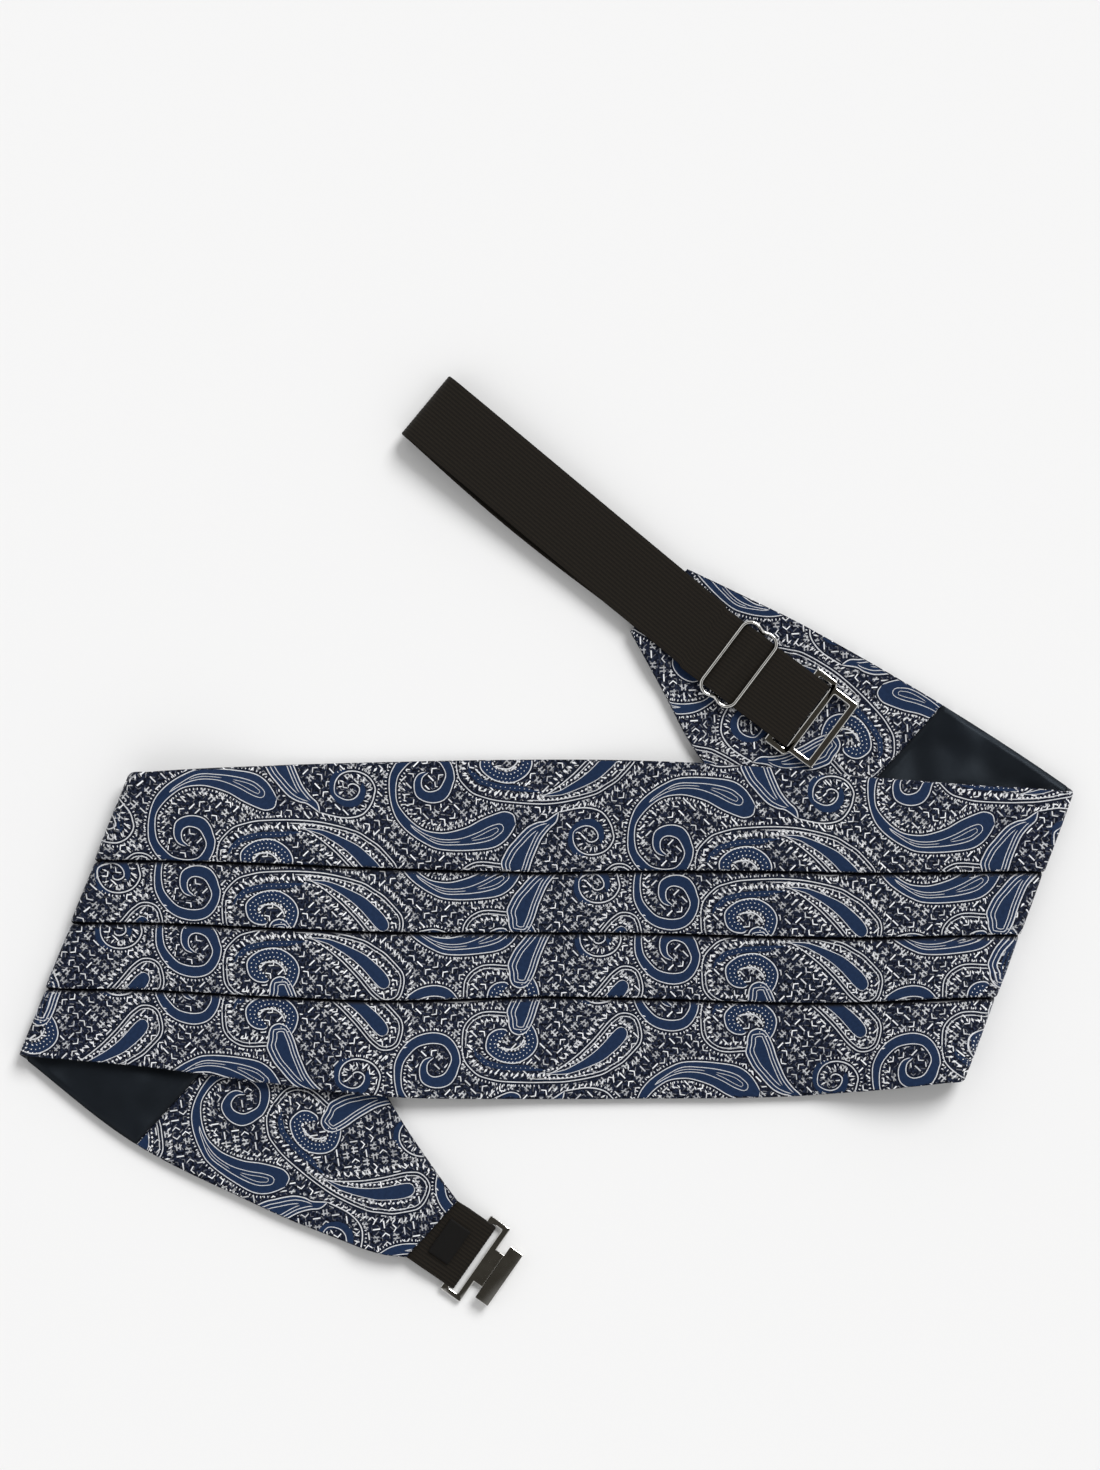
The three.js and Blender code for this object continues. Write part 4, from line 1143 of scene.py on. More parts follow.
def lining_grids():
    shares = np.linspace(0, 1, 41)
    stations = stations_along(30, 25, 120)
    low_s, high_s = LEFT.lining_end + GAP / 2, RIGHT.lining_end - GAP / 2
    outer, inner, places = [], [], []
    for share in shares:
        many = np.full(len(stations), share)
        s = station_s(stations, many)
        wing = stations < 1
        left_end, right_end = fold_station(LEFT, many, 1.0), fold_station(RIGHT, many, 1.0)
        s = np.where(wing, low_s + (left_end - low_s) * stations, s)
        wing = stations > 4
        s = np.where(wing, right_end + (high_s - right_end) * (stations - 4), s)
        t = across_at(s, share)
        normal = outward(s, t)
        wing_share = on_wing(s, t)
        near_edge = np.minimum(1, 6 * np.minimum(share, 1 - share))
        wave = 0.1 * (1 + np.sin(s / 6.1 + t / 4.3) * np.sin(t / 9.0 - s / 13.0)) * wing_share * near_edge
        outer.append(folded(s, t) - normal * GAP)
        inner.append(folded(s, t) - normal * (GAP + LINING_THICKNESS + wave[:, None]))
        places.append(np.stack([s, t, np.zeros_like(s)], axis=-1))
    return [np.stack(grid, axis=1) for grid in (outer, inner, places)]


def facing_grids(side):
    shares = np.linspace(0, 1, 41)
    start = side.lining_end + side.sign * GAP / 2
    places = np.linspace(start, side.tip, 72)
    if side.sign < 0:
        places = places[::-1]
    outer, inner, cloth = [], [], []
    for share in shares:
        t = across_at(places, share)
        normal = outward(places, t)
        rise = facing_rise(side, places)
        outer.append(folded(places, t) - normal * (GAP + rise)[:, None])
        inner.append(facing_point(side, places, t))
        point = folded(places, t)
        u, v = facing_chart_place(side, point[:, 0], point[:, 1])
        cloth.append(np.stack([u * CHART, v * CHART, np.zeros_like(u)], axis=-1))
    return [np.stack(grid, axis=1) for grid in (outer, inner, cloth)]


# Elastic

def arc_points(along, height, radius, start, end, side=0.0, width=None):
    steps = max(2, math.ceil(abs(end - start) / math.radians(9)))
    return [
        (along + radius * math.cos(a), height + radius * math.sin(a), side, width)
        for a in np.linspace(start, end, steps + 1)
    ]


def run_points(start, end, steps, bow=0.0):
    points = []
    for share in np.linspace(0, 1, steps + 1):
        rise = float(ease(0, 1, share))
        points.append((
            start[0] + (end[0] - start[0]) * share,
            start[1] + (end[1] - start[1]) * rise,
            bow * math.sin(math.pi * share),
            None,
        ))
    return points


def tip_frame(side):
    middle = (edge_at(1, side.tip) - edge_at(2, side.tip)) / 2
    tip = folded(np.array([side.tip]), np.array([middle]))[0]
    inside = folded(np.array([side.tip - side.sign]), np.array([middle]))[0]
    return SimpleNamespace(x=tip[0], y=tip[1], heading=math.atan2(tip[1] - inside[1], tip[0] - inside[0]))


def frame_along(base, along, turn=0.0):
    return SimpleNamespace(
        x=base.x + along * math.cos(base.heading),
        y=base.y + along * math.sin(base.heading),
        heading=base.heading + turn,
    )


def place_on(base, along, side):
    cos, sin = math.cos(base.heading), math.sin(base.heading)
    return base.x + along * cos - side * sin, base.y + along * sin + side * cos


POCKET_LEVEL = WING_LEVEL + GAP + HALF_ELASTIC
SLIDE_LEVEL = FACING_TOP + 3 * GAP + 2 * ELASTIC_THICKNESS + WIRE / 2
UNDER_SLIDE_LEVEL = SLIDE_LEVEL - WIRE / 2 - GAP - HALF_ELASTIC
RETURN_LEVEL = FACING_TOP + GAP + HALF_ELASTIC
EYE_WRAP_RADIUS = PLATE / 2 + GAP + HALF_ELASTIC
EYE_PLATE_LEVEL = RETURN_LEVEL + EYE_WRAP_RADIUS
OVER_TIP_LEVEL = FACING_TOP + RIGHT.tuck_rise + GAP + HALF_ELASTIC
SLIDE_BAR_OFFSET = (SLIDE_LENGTH - WIRE) / 2
SLIDE_LOBE_ALONG = SLIDE_BAR_OFFSET - SLIDE_LOBE_RADIUS
EYE_HALF = EYE_SLOT_WIDTH / 2 + EYE_RAIL
EYE_CLASP_LENGTH = EYE_CLASP_REACH + 2 * CLASP_BAR + EYE_STRAP_SLOT + EYE_SLOT_LENGTH + EYE_END_BAR
EYE_LOOP_END = EYE_CLASP_REACH + CLASP_BAR + EYE_STRAP_SLOT - GAP
TAB_WRAP_RADIUS = PLATE / 2 + GAP + HALF_ELASTIC
HOOK_PLATE_LEVEL = HALF_ELASTIC + TAB_WRAP_RADIUS


def adjuster_frames():
    lower = frame_along(tip_frame(RIGHT), 0, ADJUSTER_TURN)
    far = frame_along(lower, ADJUSTER_LOWER_RUN)
    back = SimpleNamespace(x=far.x, y=far.y, heading=far.heading + math.pi - ADJUSTER_RETURN_TURN)
    reach = ADJUSTER_LOWER_RUN
    for _ in range(20):
        slide = frame_along(back, reach, ADJUSTER_SLIDE_TURN)
        x, y = place_on(slide, EYE_CLASP_LENGTH, -EYE_HALF)
        reach += y - float(edge_at(1, x)) - EYE_TO_FRONT
    return back, frame_along(back, reach, ADJUSTER_SLIDE_TURN), reach


def leaving_reach(turn, width):
    return (width / 2) * math.tan(abs(turn)) + GAP


def slide_across(width):
    """How far the middles of the slide's lobes, and its notches, lie from its own middle."""
    lobe = width / 2 + SLIDE_SIDE_CLEARANCE + WIRE / 2 - SLIDE_LOBE_RADIUS
    return lobe, lobe + math.sqrt(SLIDE_LOBE_RADIUS**2 - SLIDE_LOBE_ALONG**2)


def adjuster_path(width, reach):
    _, notch = slide_across(width)
    tip_along = ADJUSTER_LOWER_RUN - leaving_reach(ADJUSTER_TURN, width)
    loop_along = FAR_LOOP_RADIUS + HALF_ELASTIC
    quarter = math.pi / 2
    hump = WIRE / 2 + GAP + ELASTIC_THICKNESS + GAP + HALF_ELASTIC
    wrap = WIRE / 2 + GAP + HALF_ELASTIC
    under_bar = SLIDE_BAR_OFFSET - WIRE / 2
    drop = SLIDE_LEVEL - UNDER_SLIDE_LEVEL
    slope = math.atan2(drop, under_bar) + math.asin(hump / math.hypot(drop, under_bar))
    eye_loop = reach + EYE_LOOP_END - EYE_WRAP_RADIUS - HALF_ELASTIC
    wrap_width = min(width, 2 * (notch - WIRE / 2 - GAP))
    loop_top = HALF_ELASTIC + 2 * FAR_LOOP_RADIUS
    return [
        *run_points((tip_along + TUCK_DEPTH, POCKET_LEVEL), (tip_along, POCKET_LEVEL), 4),
        *run_points((tip_along, POCKET_LEVEL), (tip_along - DROP_LENGTH, HALF_ELASTIC), 12),
        *run_points((tip_along - DROP_LENGTH, HALF_ELASTIC), (loop_along, HALF_ELASTIC), 40, -ADJUSTER_BOW),
        *arc_points(loop_along, HALF_ELASTIC + FAR_LOOP_RADIUS, FAR_LOOP_RADIUS, -quarter, -3 * quarter),
        *run_points((loop_along, loop_top), (tip_along - ELASTIC_THICKNESS, OVER_TIP_LEVEL), 44),
        (reach - under_bar - WIRE, UNDER_SLIDE_LEVEL, 0.0, None),
        (reach - under_bar, UNDER_SLIDE_LEVEL, 0.0, None),
        *arc_points(reach, SLIDE_LEVEL, hump, quarter + slope, quarter - slope),
        (reach + under_bar, UNDER_SLIDE_LEVEL, 0.0, None),
        (reach + under_bar + WIRE, UNDER_SLIDE_LEVEL, 0.0, None),
        (reach + EYE_CLASP_REACH - WIRE, EYE_PLATE_LEVEL + EYE_WRAP_RADIUS, 0.0, None),
        *arc_points(eye_loop, EYE_PLATE_LEVEL, EYE_WRAP_RADIUS, quarter, -quarter),
        (reach + under_bar, RETURN_LEVEL, 0.0, None),
        *arc_points(reach, SLIDE_LEVEL, wrap, SEWN_WRAP_START, SEWN_WRAP_END, 0.0, wrap_width),
    ]


def tab_upper_level(along, width):
    pocket_top = POCKET_LEVEL + ELASTIC_THICKNESS + GAP
    fall = float(ease(leaving_reach(TAB_TURN, width), TAB_CLASP_REACH, along))
    return pocket_top + (HOOK_PLATE_LEVEL + TAB_WRAP_RADIUS - pocket_top) * fall


def tab_path(width):
    leaving = leaving_reach(TAB_TURN, width)
    quarter = math.pi / 2
    upper = [
        (along, tab_upper_level(along, width), 0.0, None)
        for along in np.linspace(TAB_CLASP_REACH, leaving, 12)
    ]
    return [
        (-TUCK_DEPTH, POCKET_LEVEL, 0.0, None),
        *run_points((leaving, POCKET_LEVEL), (TAB_DROP_LENGTH, HALF_ELASTIC), 10),
        *arc_points(TAB_CLASP_REACH + CLASP_BAR, HOOK_PLATE_LEVEL, TAB_WRAP_RADIUS, -quarter, quarter),
        *upper,
        (-TUCK_DEPTH, tab_upper_level(0.0, width), 0.0, None),
    ]


def dense_path(points, width, spacing):
    """The path's points as rows (along, height, side, width, run), close enough together to bend."""
    rows = np.array([(a, h, s, width if w is None else w) for a, h, s, w in points], float)
    step = np.hypot(np.diff(rows[:, 0]), np.diff(rows[:, 1]))
    rows = rows[np.concatenate([[True], step > 1e-3])]
    step = np.hypot(np.diff(rows[:, 0]), np.diff(rows[:, 1]))
    run = np.concatenate([[0], np.cumsum(step)])
    places = [run[0]]
    for a, b in zip(run[:-1], run[1:]):
        count = max(1, math.ceil((b - a) / spacing))
        places += np.linspace(a, b, count + 1)[1:].tolist()
    places = np.array(places)
    return np.column_stack([*[np.interp(places, run, rows[:, k]) for k in range(4)], places])


def band_mesh(path, thickness, place, ribs, rib_depth):
    """A flat woven band along a path, with lengthwise ribs and rounded selvedges."""
    flat = path[:, :2]
    direction = np.diff(flat, axis=0)
    direction /= np.linalg.norm(direction, axis=1, keepdims=True)
    before = np.vstack([direction[:1], direction])
    after = np.vstack([direction, direction[-1:]])
    middle = before + after
    middle /= np.linalg.norm(middle, axis=1, keepdims=True)
    stretch = 1 / np.maximum((middle * before).sum(axis=1), 0.5)
    per_rib = 4
    across = np.linspace(-0.5, 0.5, ribs * per_rib + 1)
    phase = np.arange(len(across)) / per_rib
    groove = rib_depth * (0.5 + 0.5 * np.cos(2 * math.pi * phase))
    half = thickness / 2 - groove
    half[[0, -1]] = thickness * 0.2
    half[[1, -2]] = thickness * 0.42
    section = np.concatenate([
        np.column_stack([across, half]), np.column_stack([across[::-1], -half[::-1]]),
    ])
    points, cloth = [], []
    for row, lean, reach in zip(path, middle, stretch):
        along = row[0] - lean[1] * section[:, 1] * reach
        height = row[1] + lean[0] * section[:, 1] * reach
        x, y = place(along, row[2] + section[:, 0] * row[3])
        points.append(np.column_stack([x, y, height]))
        cloth.append(np.column_stack([
            np.full(len(section), row[4]), section[:, 0] * row[3], np.zeros(len(section)),
        ]))
    return np.concatenate(points), tube_faces(len(path), len(section)), np.concatenate(cloth)


# Metal

def clear_selection():
    if bpy.context.object and bpy.context.object.mode != "OBJECT":
        bpy.ops.object.mode_set(mode="OBJECT")
    bpy.ops.object.select_all(action="DESELECT")


def select_only(piece):
    clear_selection()
    bpy.context.view_layer.objects.active = piece
    piece.select_set(True)


def metal_box(name, low, high):
    """A box between two corners, in millimetres in the piece's own frame."""
    clear_selection()
    centre = [(a + b) / 2 * MM for a, b in zip(low, high)]
    size = [(b - a) * MM for a, b in zip(low, high)]
    bpy.ops.mesh.primitive_cube_add(size=1, location=centre)
    box = bpy.context.object
    box.name = name
    box.scale = size
    bpy.ops.object.transform_apply(location=True, rotation=True, scale=True)
    return box


def round_upright_edges(piece, radius, segments=6):
    """Bevels the edges that stand upright, as a stamped plate's corners are."""
    select_only(piece)
    bpy.ops.object.mode_set(mode="EDIT")
    bpy.ops.mesh.select_mode(type="EDGE")
    bpy.ops.mesh.select_all(action="DESELECT")
    shape = bmesh.from_edit_mesh(piece.data)
    for edge in shape.edges:
        rise = edge.verts[0].co - edge.verts[1].co
        edge.select_set(rise.xy.length < 1e-6 and rise.length > 1e-5)
    bmesh.update_edit_mesh(piece.data)
    bpy.ops.mesh.bevel(offset=radius * MM, segments=segments, affect="EDGES")
    bpy.ops.object.mode_set(mode="OBJECT")


def boolean(piece, other, operation):
    """Joins a second box to the piece, or cuts it out, and removes it."""
    select_only(piece)
    modifier = piece.modifiers.new("cut", "BOOLEAN")
    modifier.operation = operation
    modifier.object = other
    modifier.solver = "EXACT"
    bpy.ops.object.modifier_apply(modifier=modifier.name)
    bpy.data.objects.remove(other)


def merge_flat_faces(piece):
    """Dissolves the edges that a join left within a flat face."""
    select_only(piece)
    bpy.ops.object.mode_set(mode="EDIT")
    bpy.ops.mesh.select_all(action="SELECT")
    bpy.ops.mesh.dissolve_limited(angle_limit=math.radians(1))
    bpy.ops.object.mode_set(mode="OBJECT")


def finish_metal(piece, base, level, edge, material):
    """Rounds every edge a little, places the piece and gives it its finish."""
    select_only(piece)
    if edge:
        bpy.ops.object.mode_set(mode="EDIT")
        bpy.ops.mesh.select_all(action="SELECT")
        bpy.ops.mesh.quads_convert_to_tris(quad_method="BEAUTY", ngon_method="BEAUTY")
        bpy.ops.object.mode_set(mode="OBJECT")
        modifier = piece.modifiers.new("edge", "BEVEL")
        modifier.width = edge * MM
        modifier.segments = 2
        modifier.limit_method = "ANGLE"
        modifier.angle_limit = math.radians(30)
        modifier.use_clamp_overlap = False
        bpy.ops.object.modifier_apply(modifier=modifier.name)
    place = in_frame([base.x, base.y, level])
    piece.location = Vector(place)
    piece.rotation_euler = (0, 0, base.heading)
    bpy.ops.object.transform_apply(location=True, rotation=True, scale=True)
    bpy.ops.object.mode_set(mode="EDIT")
    bpy.ops.mesh.select_all(action="SELECT")
    bpy.ops.mesh.remove_doubles(threshold=1e-6)
    bpy.ops.mesh.normals_make_consistent(inside=False)
    bpy.ops.object.mode_set(mode="OBJECT")
    bpy.ops.object.shade_smooth_by_angle(angle=math.radians(20 if edge else 60))
    piece.data.materials.clear()
    piece.data.materials.append(material)
    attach(piece, "root")
    return piece


def spun_quarter_wire(bar_offset, lobe_along, lobe_across, lobe_radius, wire):
    """A quarter of the slide's wire: half an end bar, and a lobe that is spun past its notch."""
    clear_selection()
    bpy.ops.mesh.primitive_circle_add(
        vertices=WIRE_SIDES, radius=wire / 2 * MM, location=(bar_offset * MM, 0, 0),
        rotation=(math.radians(90), 0, 0),
    )
    quarter = bpy.context.object
    bpy.ops.object.transform_apply(location=True, rotation=True, scale=True)
    bpy.ops.object.mode_set(mode="EDIT")
    bpy.ops.mesh.select_all(action="SELECT")
    for _ in range(2):
        bpy.ops.mesh.extrude_region_move(
            TRANSFORM_OT_translate={"value": (0, lobe_across / 2 * MM, 0)}
        )
    notch_turn = math.asin(lobe_along / lobe_radius)
    bpy.ops.mesh.spin(
        steps=16,
        angle=math.pi / 2 + notch_turn + PAST_NOTCH,
        center=(lobe_along * MM, lobe_across * MM, 0),
        axis=(0, 0, -1),
    )
    bpy.ops.object.mode_set(mode="OBJECT")
    return quarter


# Settings

class ClothSettings(bpy.types.PropertyGroup):
    """Colours of the cloth"""

    navy: FloatVectorProperty(
        name="Navy", description="Colour of the navy figures", subtype="COLOR", size=3,
        min=0, max=1, default=(0.0088, 0.0185, 0.046),
    )
    ground: FloatVectorProperty(
        name="Ground", description="Colour of the dark ground", subtype="COLOR", size=3,
        min=0, max=1, default=(0.0022, 0.003, 0.006),
    )
    silver: FloatVectorProperty(
        name="Silver", description="Colour of the silver threads", subtype="COLOR", size=3,
        min=0, max=1, default=(0.78, 0.79, 0.82),
    )
    lining: FloatVectorProperty(
        name="Lining", description="Colour of the satin lining", subtype="COLOR", size=3,
        min=0, max=1, default=(0.0034, 0.0042, 0.0062),
    )
    label: FloatVectorProperty(
        name="Label", description="Colour of the bare label patch", subtype="COLOR", size=3,
        min=0, max=1, default=(0.0055, 0.005, 0.0045),
    )


class ElasticSettings(bpy.types.PropertyGroup):
    """Sizes and colour of the elastic"""

    width: FloatProperty(
        name="Width", description="Width of the elastic", subtype="DISTANCE", unit="LENGTH",
        min=0.02, max=0.04, default=0.028,
    )
    rib_depth: FloatProperty(
        name="Rib depth", description="Depth of the grooves between ribs", subtype="DISTANCE",
        unit="LENGTH", min=0.0, max=0.0003, default=0.0001, precision=5,
    )
    elastic: FloatVectorProperty(
        name="Elastic", description="Colour of the elastic", subtype="COLOR", size=3,
        min=0, max=1, default=(0.0085, 0.0068, 0.0048),
    )


class StageSettings(bpy.types.PropertyGroup):
    """The floor, light and camera"""

    lens: FloatProperty(
        name="Lens", description="Focal length of the camera, in millimetres", min=35, max=200, default=100,
    )
    height: FloatProperty(
        name="Camera height", description="Height of the camera above the floor", subtype="DISTANCE",
        unit="LENGTH", min=0.5, max=4, default=1.531,
    )
    key_light: FloatProperty(
        name="Key light", description="Strength of the soft light at the upper right",
        min=0, max=20, default=2.4,
    )
    studio_light: FloatProperty(
        name="Studio light", description="Strength of the even light all round", min=0, max=5, default=0.74,
    )
    floor: FloatVectorProperty(
        name="Floor", description="Colour of the floor", subtype="COLOR", size=3,
        min=0, max=1, default=(0.84, 0.84, 0.84),
    )


# Operators

def sheet_piece(name, grids, look, node):
    """A closed sheet of cloth, from its two sides, that stands for a CAD node."""
    outer, inner, places = grids
    points, faces = closed_sheet(outer, inner)
    cloth = np.concatenate([places.reshape(-1, 3)] * 2)
    piece = new_piece(name, points, faces, look, cloth)
    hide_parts(node)
    return piece


class CUMMERBUND_OT_face(bpy.types.Operator):
    """Make the pleated silk face with its woven paisley"""

    bl_idname = "cummerbund.face"
    bl_label = "Pleated Face"

    def execute(self, context):
        settings = context.scene.cummerbund_cloth
        ground = silk_ground(settings)
        face = sheet_piece("pleated_silk", pleated_face(), ground, "pleated_front")
        navy = tuple(settings.navy)
        silver = tuple(settings.silver)
        looks = {
            "navy": silk_figure("paisley_navy", navy, tuple(1.7 * c for c in navy), 0.46),
            "silver": silk_figure("paisley_silver", tuple(0.55 * c for c in silver), silver, 0.42),
            "white": silk_figure("paisley_white", tuple(0.9 * c for c in silver), (0.8, 0.8, 0.81), 0.45),
        }
        figures = paisley_figures()
        for colour, (chart_points, chart_faces) in figures.items():
            points, faces, cloth = figures_on_front(chart_points, chart_faces)
            piece = new_piece("paisley_" + colour, points, faces, looks[colour], cloth)
        flat_area(LEFT.tip, RIGHT.tip)
        for side, name, node in ((LEFT, "left", "left_wing_facing"), (RIGHT, "right", "right_wing_facing")):
            facing = sheet_piece(name + "_facing_silk", facing_grids(side), ground, node)
            for colour, (chart_points, chart_faces) in figures.items():
                points, faces, cloth = figures_on_facing(side, chart_points, chart_faces)
                title = name + "_facing_" + colour
                new_piece(title, points, faces, looks[colour], cloth)
            start = side.lining_end + side.sign * GAP / 2
            low_s, high_s = sorted((start, side.tip))
            height = float(edge_at(1, start) + edge_at(2, start))
            flat_area(low_s, high_s)
        return {"FINISHED"}


class CUMMERBUND_OT_lining(bpy.types.Operator):
    """Make the satin lining"""

    bl_idname = "cummerbund.lining"
    bl_label = "Lining"

    def execute(self, context):
        settings = context.scene.cummerbund_cloth
        lining = sheet_piece("lining_satin", lining_grids(), satin(settings), "lining")
        low_s, high_s = LEFT.lining_end + GAP / 2, RIGHT.lining_end - GAP / 2
        flat_area(low_s, high_s)
        return {"FINISHED"}


class CUMMERBUND_OT_elastic(bpy.types.Operator):
    """Make the adjuster strap, the hook's tab and the bare label"""

    bl_idname = "cummerbund.elastic"
    bl_label = "Elastic"

    def execute(self, context):
        settings = context.scene.cummerbund_elastic
        width = settings.width / MM
        depth = settings.rib_depth / MM
        look = elastic(settings)
        back, slide, reach = adjuster_frames()

        def place_strap(along, side):
            far = along - reach > -SLIDE_LENGTH
            x0, y0 = place_on(back, along, side)
            x1, y1 = place_on(slide, along - reach, side)
            return np.where(far, x1, x0), np.where(far, y1, y0)

        path = dense_path(adjuster_path(width, reach), width, 1.6)
        points, faces, cloth = band_mesh(path, ELASTIC_THICKNESS, place_strap, 20, depth)
        strap = new_piece("adjuster_elastic", points, faces, look, cloth)
        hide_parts("adjuster_strap")
        tab_frame = frame_along(tip_frame(LEFT), 0, TAB_TURN)

        def place_tab(along, side):
            return place_on(tab_frame, along, side)

        path = dense_path(tab_path(width), width, 1.2)
        points, faces, cloth = band_mesh(path, ELASTIC_THICKNESS, place_tab, 20, depth)
        tab = new_piece("tab_elastic", points, faces, look, cloth)
        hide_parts("hook_tab")
        lift = HALF_ELASTIC + GAP + LABEL_THICKNESS / 2
        ends = np.linspace(LABEL_REACH - LABEL_LENGTH / 2, LABEL_REACH + LABEL_LENGTH / 2, 24)
        label_path = [(a, tab_upper_level(a, width) + lift, 0.0, None) for a in ends]
        path = dense_path(label_path, LABEL_WIDTH, 0.5)
        points, faces, cloth = band_mesh(path, LABEL_THICKNESS, place_tab, 12, 0.0)
        look = label_cloth(context.scene.cummerbund_cloth)
        label = new_piece("label_patch", points, faces, look, cloth)
        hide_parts("label")
        return {"FINISHED"}


class CUMMERBUND_OT_metal(bpy.types.Operator):
    """Make the slide, the hook clasp and the eye clasp"""

    bl_idname = "cummerbund.metal"
    bl_label = "Nickel Pieces"

    def execute(self, context):
        width = context.scene.cummerbund_elastic.width / MM
        look = nickel()
        _, slide_frame, _ = adjuster_frames()
        slot_half = width / 2 + SIDE_CLEARANCE
        self.make_slide(width, slide_frame, look)
        tab_frame = frame_along(tip_frame(LEFT), 0, TAB_TURN)
        self.make_hook(slot_half, frame_along(tab_frame, TAB_CLASP_REACH), look)
        self.make_eye(slot_half, frame_along(slide_frame, EYE_CLASP_REACH), look)
        return {"FINISHED"}

    def make_slide(self, width, base, look):
        lobe_across, notch = slide_across(width)
        wire = spun_quarter_wire(SLIDE_BAR_OFFSET, SLIDE_LOBE_ALONG, lobe_across, SLIDE_LOBE_RADIUS, WIRE)
        select_only(wire)
        mirror = wire.modifiers.new("mirror", "MIRROR")
        mirror.use_axis = (True, True, False)
        mirror.use_bisect_axis = (True, True, False)
        mirror.merge_threshold = 2e-5
        bpy.ops.object.modifier_apply(modifier=mirror.name)
        clear_selection()
        bpy.ops.mesh.primitive_cylinder_add(
            vertices=WIRE_SIDES, radius=WIRE / 2 * MM, depth=2 * notch * MM,
            rotation=(math.radians(90), 0, 0),
        )
        bar = bpy.context.object
        bpy.ops.object.transform_apply(location=True, rotation=True, scale=True)
        bar.select_set(True)
        wire.select_set(True)
        bpy.context.view_layer.objects.active = wire
        bpy.ops.object.join()
        wire.name = "slide_wire"
        finish_metal(wire, base, SLIDE_LEVEL, 0, look)
        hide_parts("slide_adjuster")

    def make_hook(self, slot_half, base, look):
        half = PLATE / 2
        frame_half = slot_half + CLASP_RAIL
        frame_end = 2 * CLASP_BAR + HOOK_SLOT
        head_start = frame_end + NECK_LENGTH
        head_end = head_start + HEAD_LENGTH
        lip_top = half + HOOK_THROAT + HOOK_LIP
        plate = metal_box("hook_plate", (0, -frame_half, -half), (frame_end, frame_half, half))
        round_upright_edges(plate, PLATE_CORNER)
        slot = metal_box("slot", (CLASP_BAR, -slot_half, -2), (CLASP_BAR + HOOK_SLOT, slot_half, 2))
        round_upright_edges(slot, PLATE_CORNER / 2)
        boolean(plate, slot, "DIFFERENCE")
        neck = metal_box(
            "neck", (frame_end - CLASP_BAR / 2, -NECK_WIDTH / 2, -half),
            (head_end - 0.4, NECK_WIDTH / 2, half),
        )
        boolean(plate, neck, "UNION")
        head = metal_box(
            "head", (head_start, -HEAD_WIDTH / 2, -half), (head_end, HEAD_WIDTH / 2, lip_top)
        )
        throat = metal_box(
            "throat", (head_start - 5, -HEAD_WIDTH, half), (head_end - PLATE, HEAD_WIDTH, lip_top - HOOK_LIP)
        )
        boolean(head, throat, "DIFFERENCE")
        relief = metal_box(
            "relief", (head_start - 5, -HEAD_WIDTH, -2), (head_start + PLATE, HEAD_WIDTH, half + 0.2)
        )
        boolean(head, relief, "DIFFERENCE")
        boolean(plate, head, "UNION")
        finish_metal(plate, base, HOOK_PLATE_LEVEL, HOOK_EDGE, look)
        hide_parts("hook_clasp")

    def make_eye(self, slot_half, base, look):
        half = PLATE / 2
        frame_half = slot_half + EYE_RAIL
        inner_bar = CLASP_BAR + EYE_STRAP_SLOT
        eye_start = inner_bar + CLASP_BAR
        eye_end = eye_start + EYE_SLOT_LENGTH
        plate = metal_box("eye_plate", (0, -frame_half, -half), (inner_bar + CLASP_BAR / 2, frame_half, half))
        eye = metal_box(
            "eye", (inner_bar - 0.6, -EYE_HALF, -half), (eye_end + EYE_END_BAR, EYE_HALF, half)
        )
        boolean(plate, eye, "UNION")
        merge_flat_faces(plate)
        round_upright_edges(plate, PLATE_CORNER)
        for low, high, side in (
            (CLASP_BAR, inner_bar, slot_half), (eye_start, eye_end, EYE_SLOT_WIDTH / 2)
        ):
            slot = metal_box("slot", (low, -side, -2), (high, side, 2))
            round_upright_edges(slot, PLATE_CORNER / 2)
            boolean(plate, slot, "DIFFERENCE")
        finish_metal(plate, base, EYE_PLATE_LEVEL, EYE_EDGE, look)
        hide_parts("eye_clasp")


# The stage, in metres
FLOOR_SIZE = 6
CAMERA_X = 0.001464
CAMERA_Y = 0.03961
SENSOR_WIDTH = 36
KEY_LIGHT_WAY = Vector((-0.5, -0.72, -0.8))
KEY_LIGHT_ANGLE = math.radians(28)


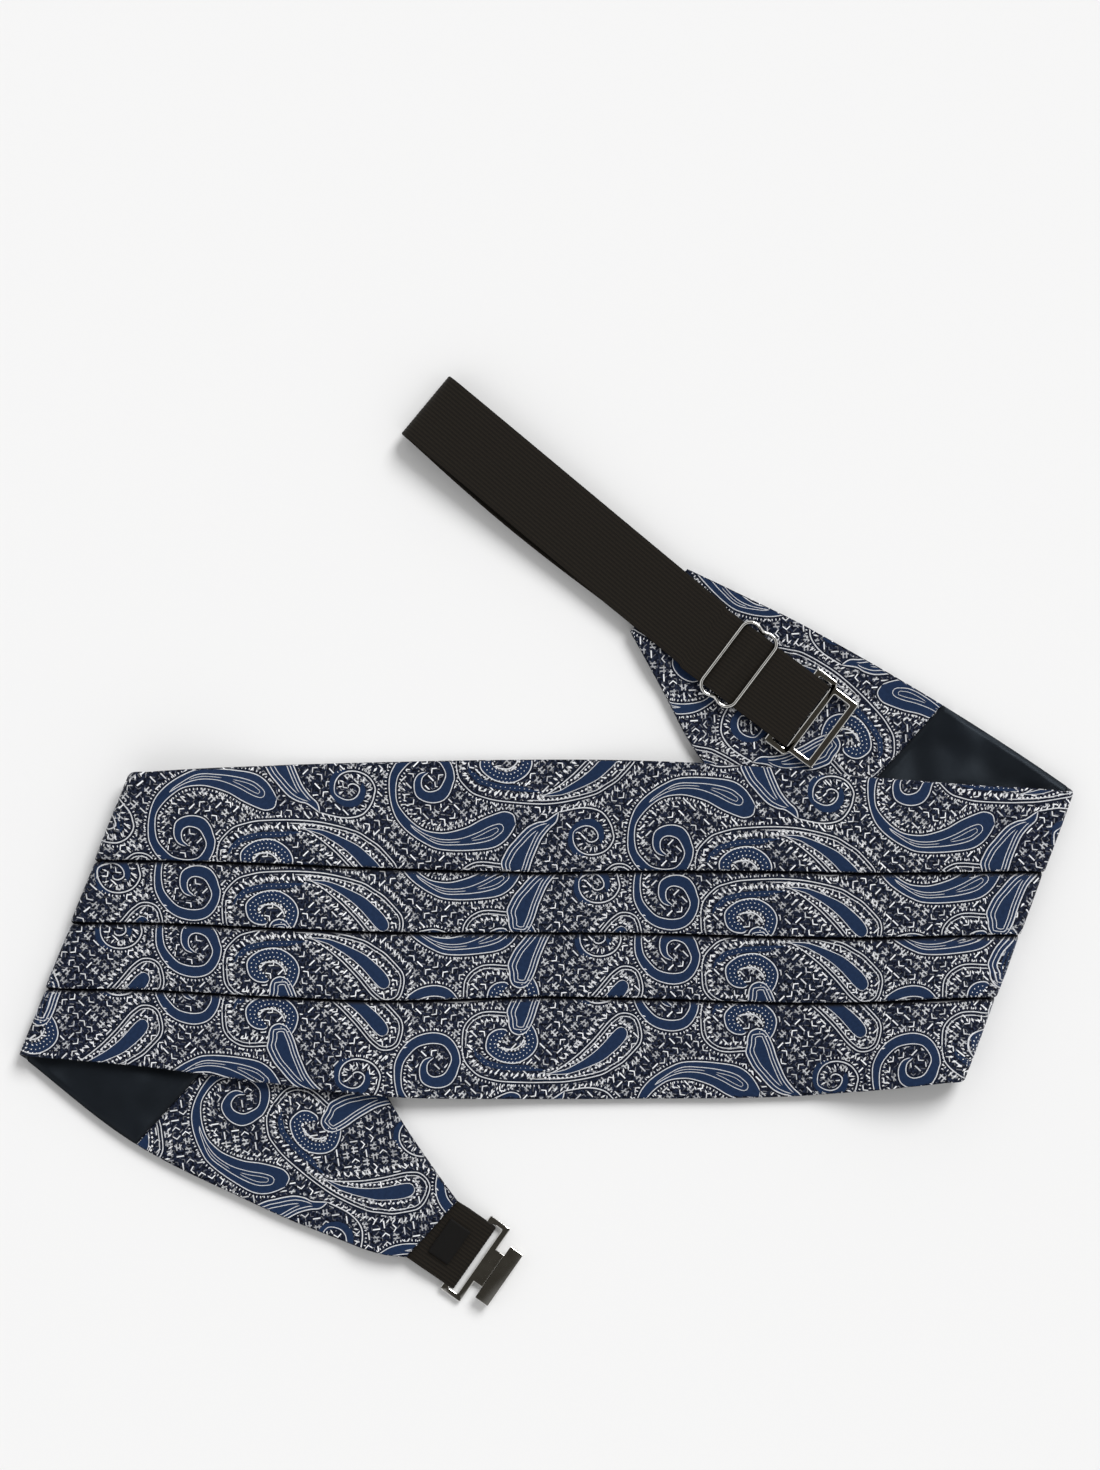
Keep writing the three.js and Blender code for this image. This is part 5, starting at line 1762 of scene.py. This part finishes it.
class CUMMERBUND_OT_stage(bpy.types.Operator):
    """Make the floor, the lights and the camera"""

    bl_idname = "cummerbund.stage"
    bl_label = "Stage"

    def execute(self, context):
        settings = context.scene.cummerbund_stage
        clear_selection()
        bpy.ops.mesh.primitive_plane_add(size=FLOOR_SIZE)
        floor = context.object
        floor.name = "floor"
        material, nodes, links, shader = material_nodes("pale_floor")
        shader.inputs["Base Color"].default_value = (*settings.floor, 1)
        shader.inputs["Roughness"].default_value = 0.8
        shader.inputs["Specular IOR Level"].default_value = 0.2
        floor.data.materials.append(material)
        world = bpy.data.worlds.new("soft_studio")
        world.use_nodes = True
        nodes, links = world.node_tree.nodes, world.node_tree.links
        split = nodes.new("ShaderNodeSeparateXYZ")
        links.new(nodes.new("ShaderNodeTexCoord").outputs["Generated"], split.inputs[0])
        studio = add_ramp(
            nodes, links, split.outputs["Z"], [(0.8, (1, 1, 1)), (0.965, (0.06, 0.055, 0.046))]
        )
        links.new(studio, nodes["Background"].inputs["Color"])
        nodes["Background"].inputs["Strength"].default_value = settings.studio_light
        context.scene.world = world
        light = bpy.data.lights.new("key", "SUN")
        light.energy = settings.key_light
        light.angle = KEY_LIGHT_ANGLE
        lamp = bpy.data.objects.new("key", light)
        lamp.rotation_euler = KEY_LIGHT_WAY.to_track_quat("-Z", "Y").to_euler()
        context.collection.objects.link(lamp)
        camera = bpy.data.objects.new("camera", bpy.data.cameras.new("camera"))
        camera.data.lens = settings.lens
        camera.data.sensor_width = SENSOR_WIDTH
        camera.location = (CAMERA_X, CAMERA_Y, settings.height)
        context.collection.objects.link(camera)
        context.scene.camera = camera
        context.scene.view_settings.view_transform = "Standard"
        return {"FINISHED"}


class CUMMERBUND_PT_panel(bpy.types.Panel):
    """The pieces of the cummerbund and their settings"""

    bl_label = "Cummerbund"
    bl_idname = "CUMMERBUND_PT_panel"
    bl_space_type = "VIEW_3D"
    bl_region_type = "UI"
    bl_category = "Cummerbund"

    def draw(self, context):
        layout = self.layout
        for name, settings in (
            ("Cloth", context.scene.cummerbund_cloth),
            ("Elastic", context.scene.cummerbund_elastic),
            ("Stage", context.scene.cummerbund_stage),
        ):
            layout.label(text=name)
            for key in settings.__annotations__:
                layout.prop(settings, key)
        for operator in OPERATORS:
            layout.operator(operator.bl_idname)


OPERATORS = (
    CUMMERBUND_OT_stage,
    CUMMERBUND_OT_face,
    CUMMERBUND_OT_lining,
    CUMMERBUND_OT_elastic,
    CUMMERBUND_OT_metal,
)
CLASSES = (ClothSettings, ElasticSettings, StageSettings, *OPERATORS, CUMMERBUND_PT_panel)


def register():
    for cls in CLASSES:
        bpy.utils.register_class(cls)
    bpy.types.Scene.cummerbund_cloth = PointerProperty(type=ClothSettings)
    bpy.types.Scene.cummerbund_elastic = PointerProperty(type=ElasticSettings)
    bpy.types.Scene.cummerbund_stage = PointerProperty(type=StageSettings)


def unregister():
    del bpy.types.Scene.cummerbund_cloth
    del bpy.types.Scene.cummerbund_elastic
    del bpy.types.Scene.cummerbund_stage
    for cls in reversed(CLASSES):
        bpy.utils.unregister_class(cls)


def main():
    register()
    bpy.ops.cummerbund.stage()
    bpy.ops.cummerbund.lining()
    bpy.ops.cummerbund.face()
    bpy.ops.cummerbund.elastic()
    bpy.ops.cummerbund.metal()


if __name__ == "__main__":
    main()
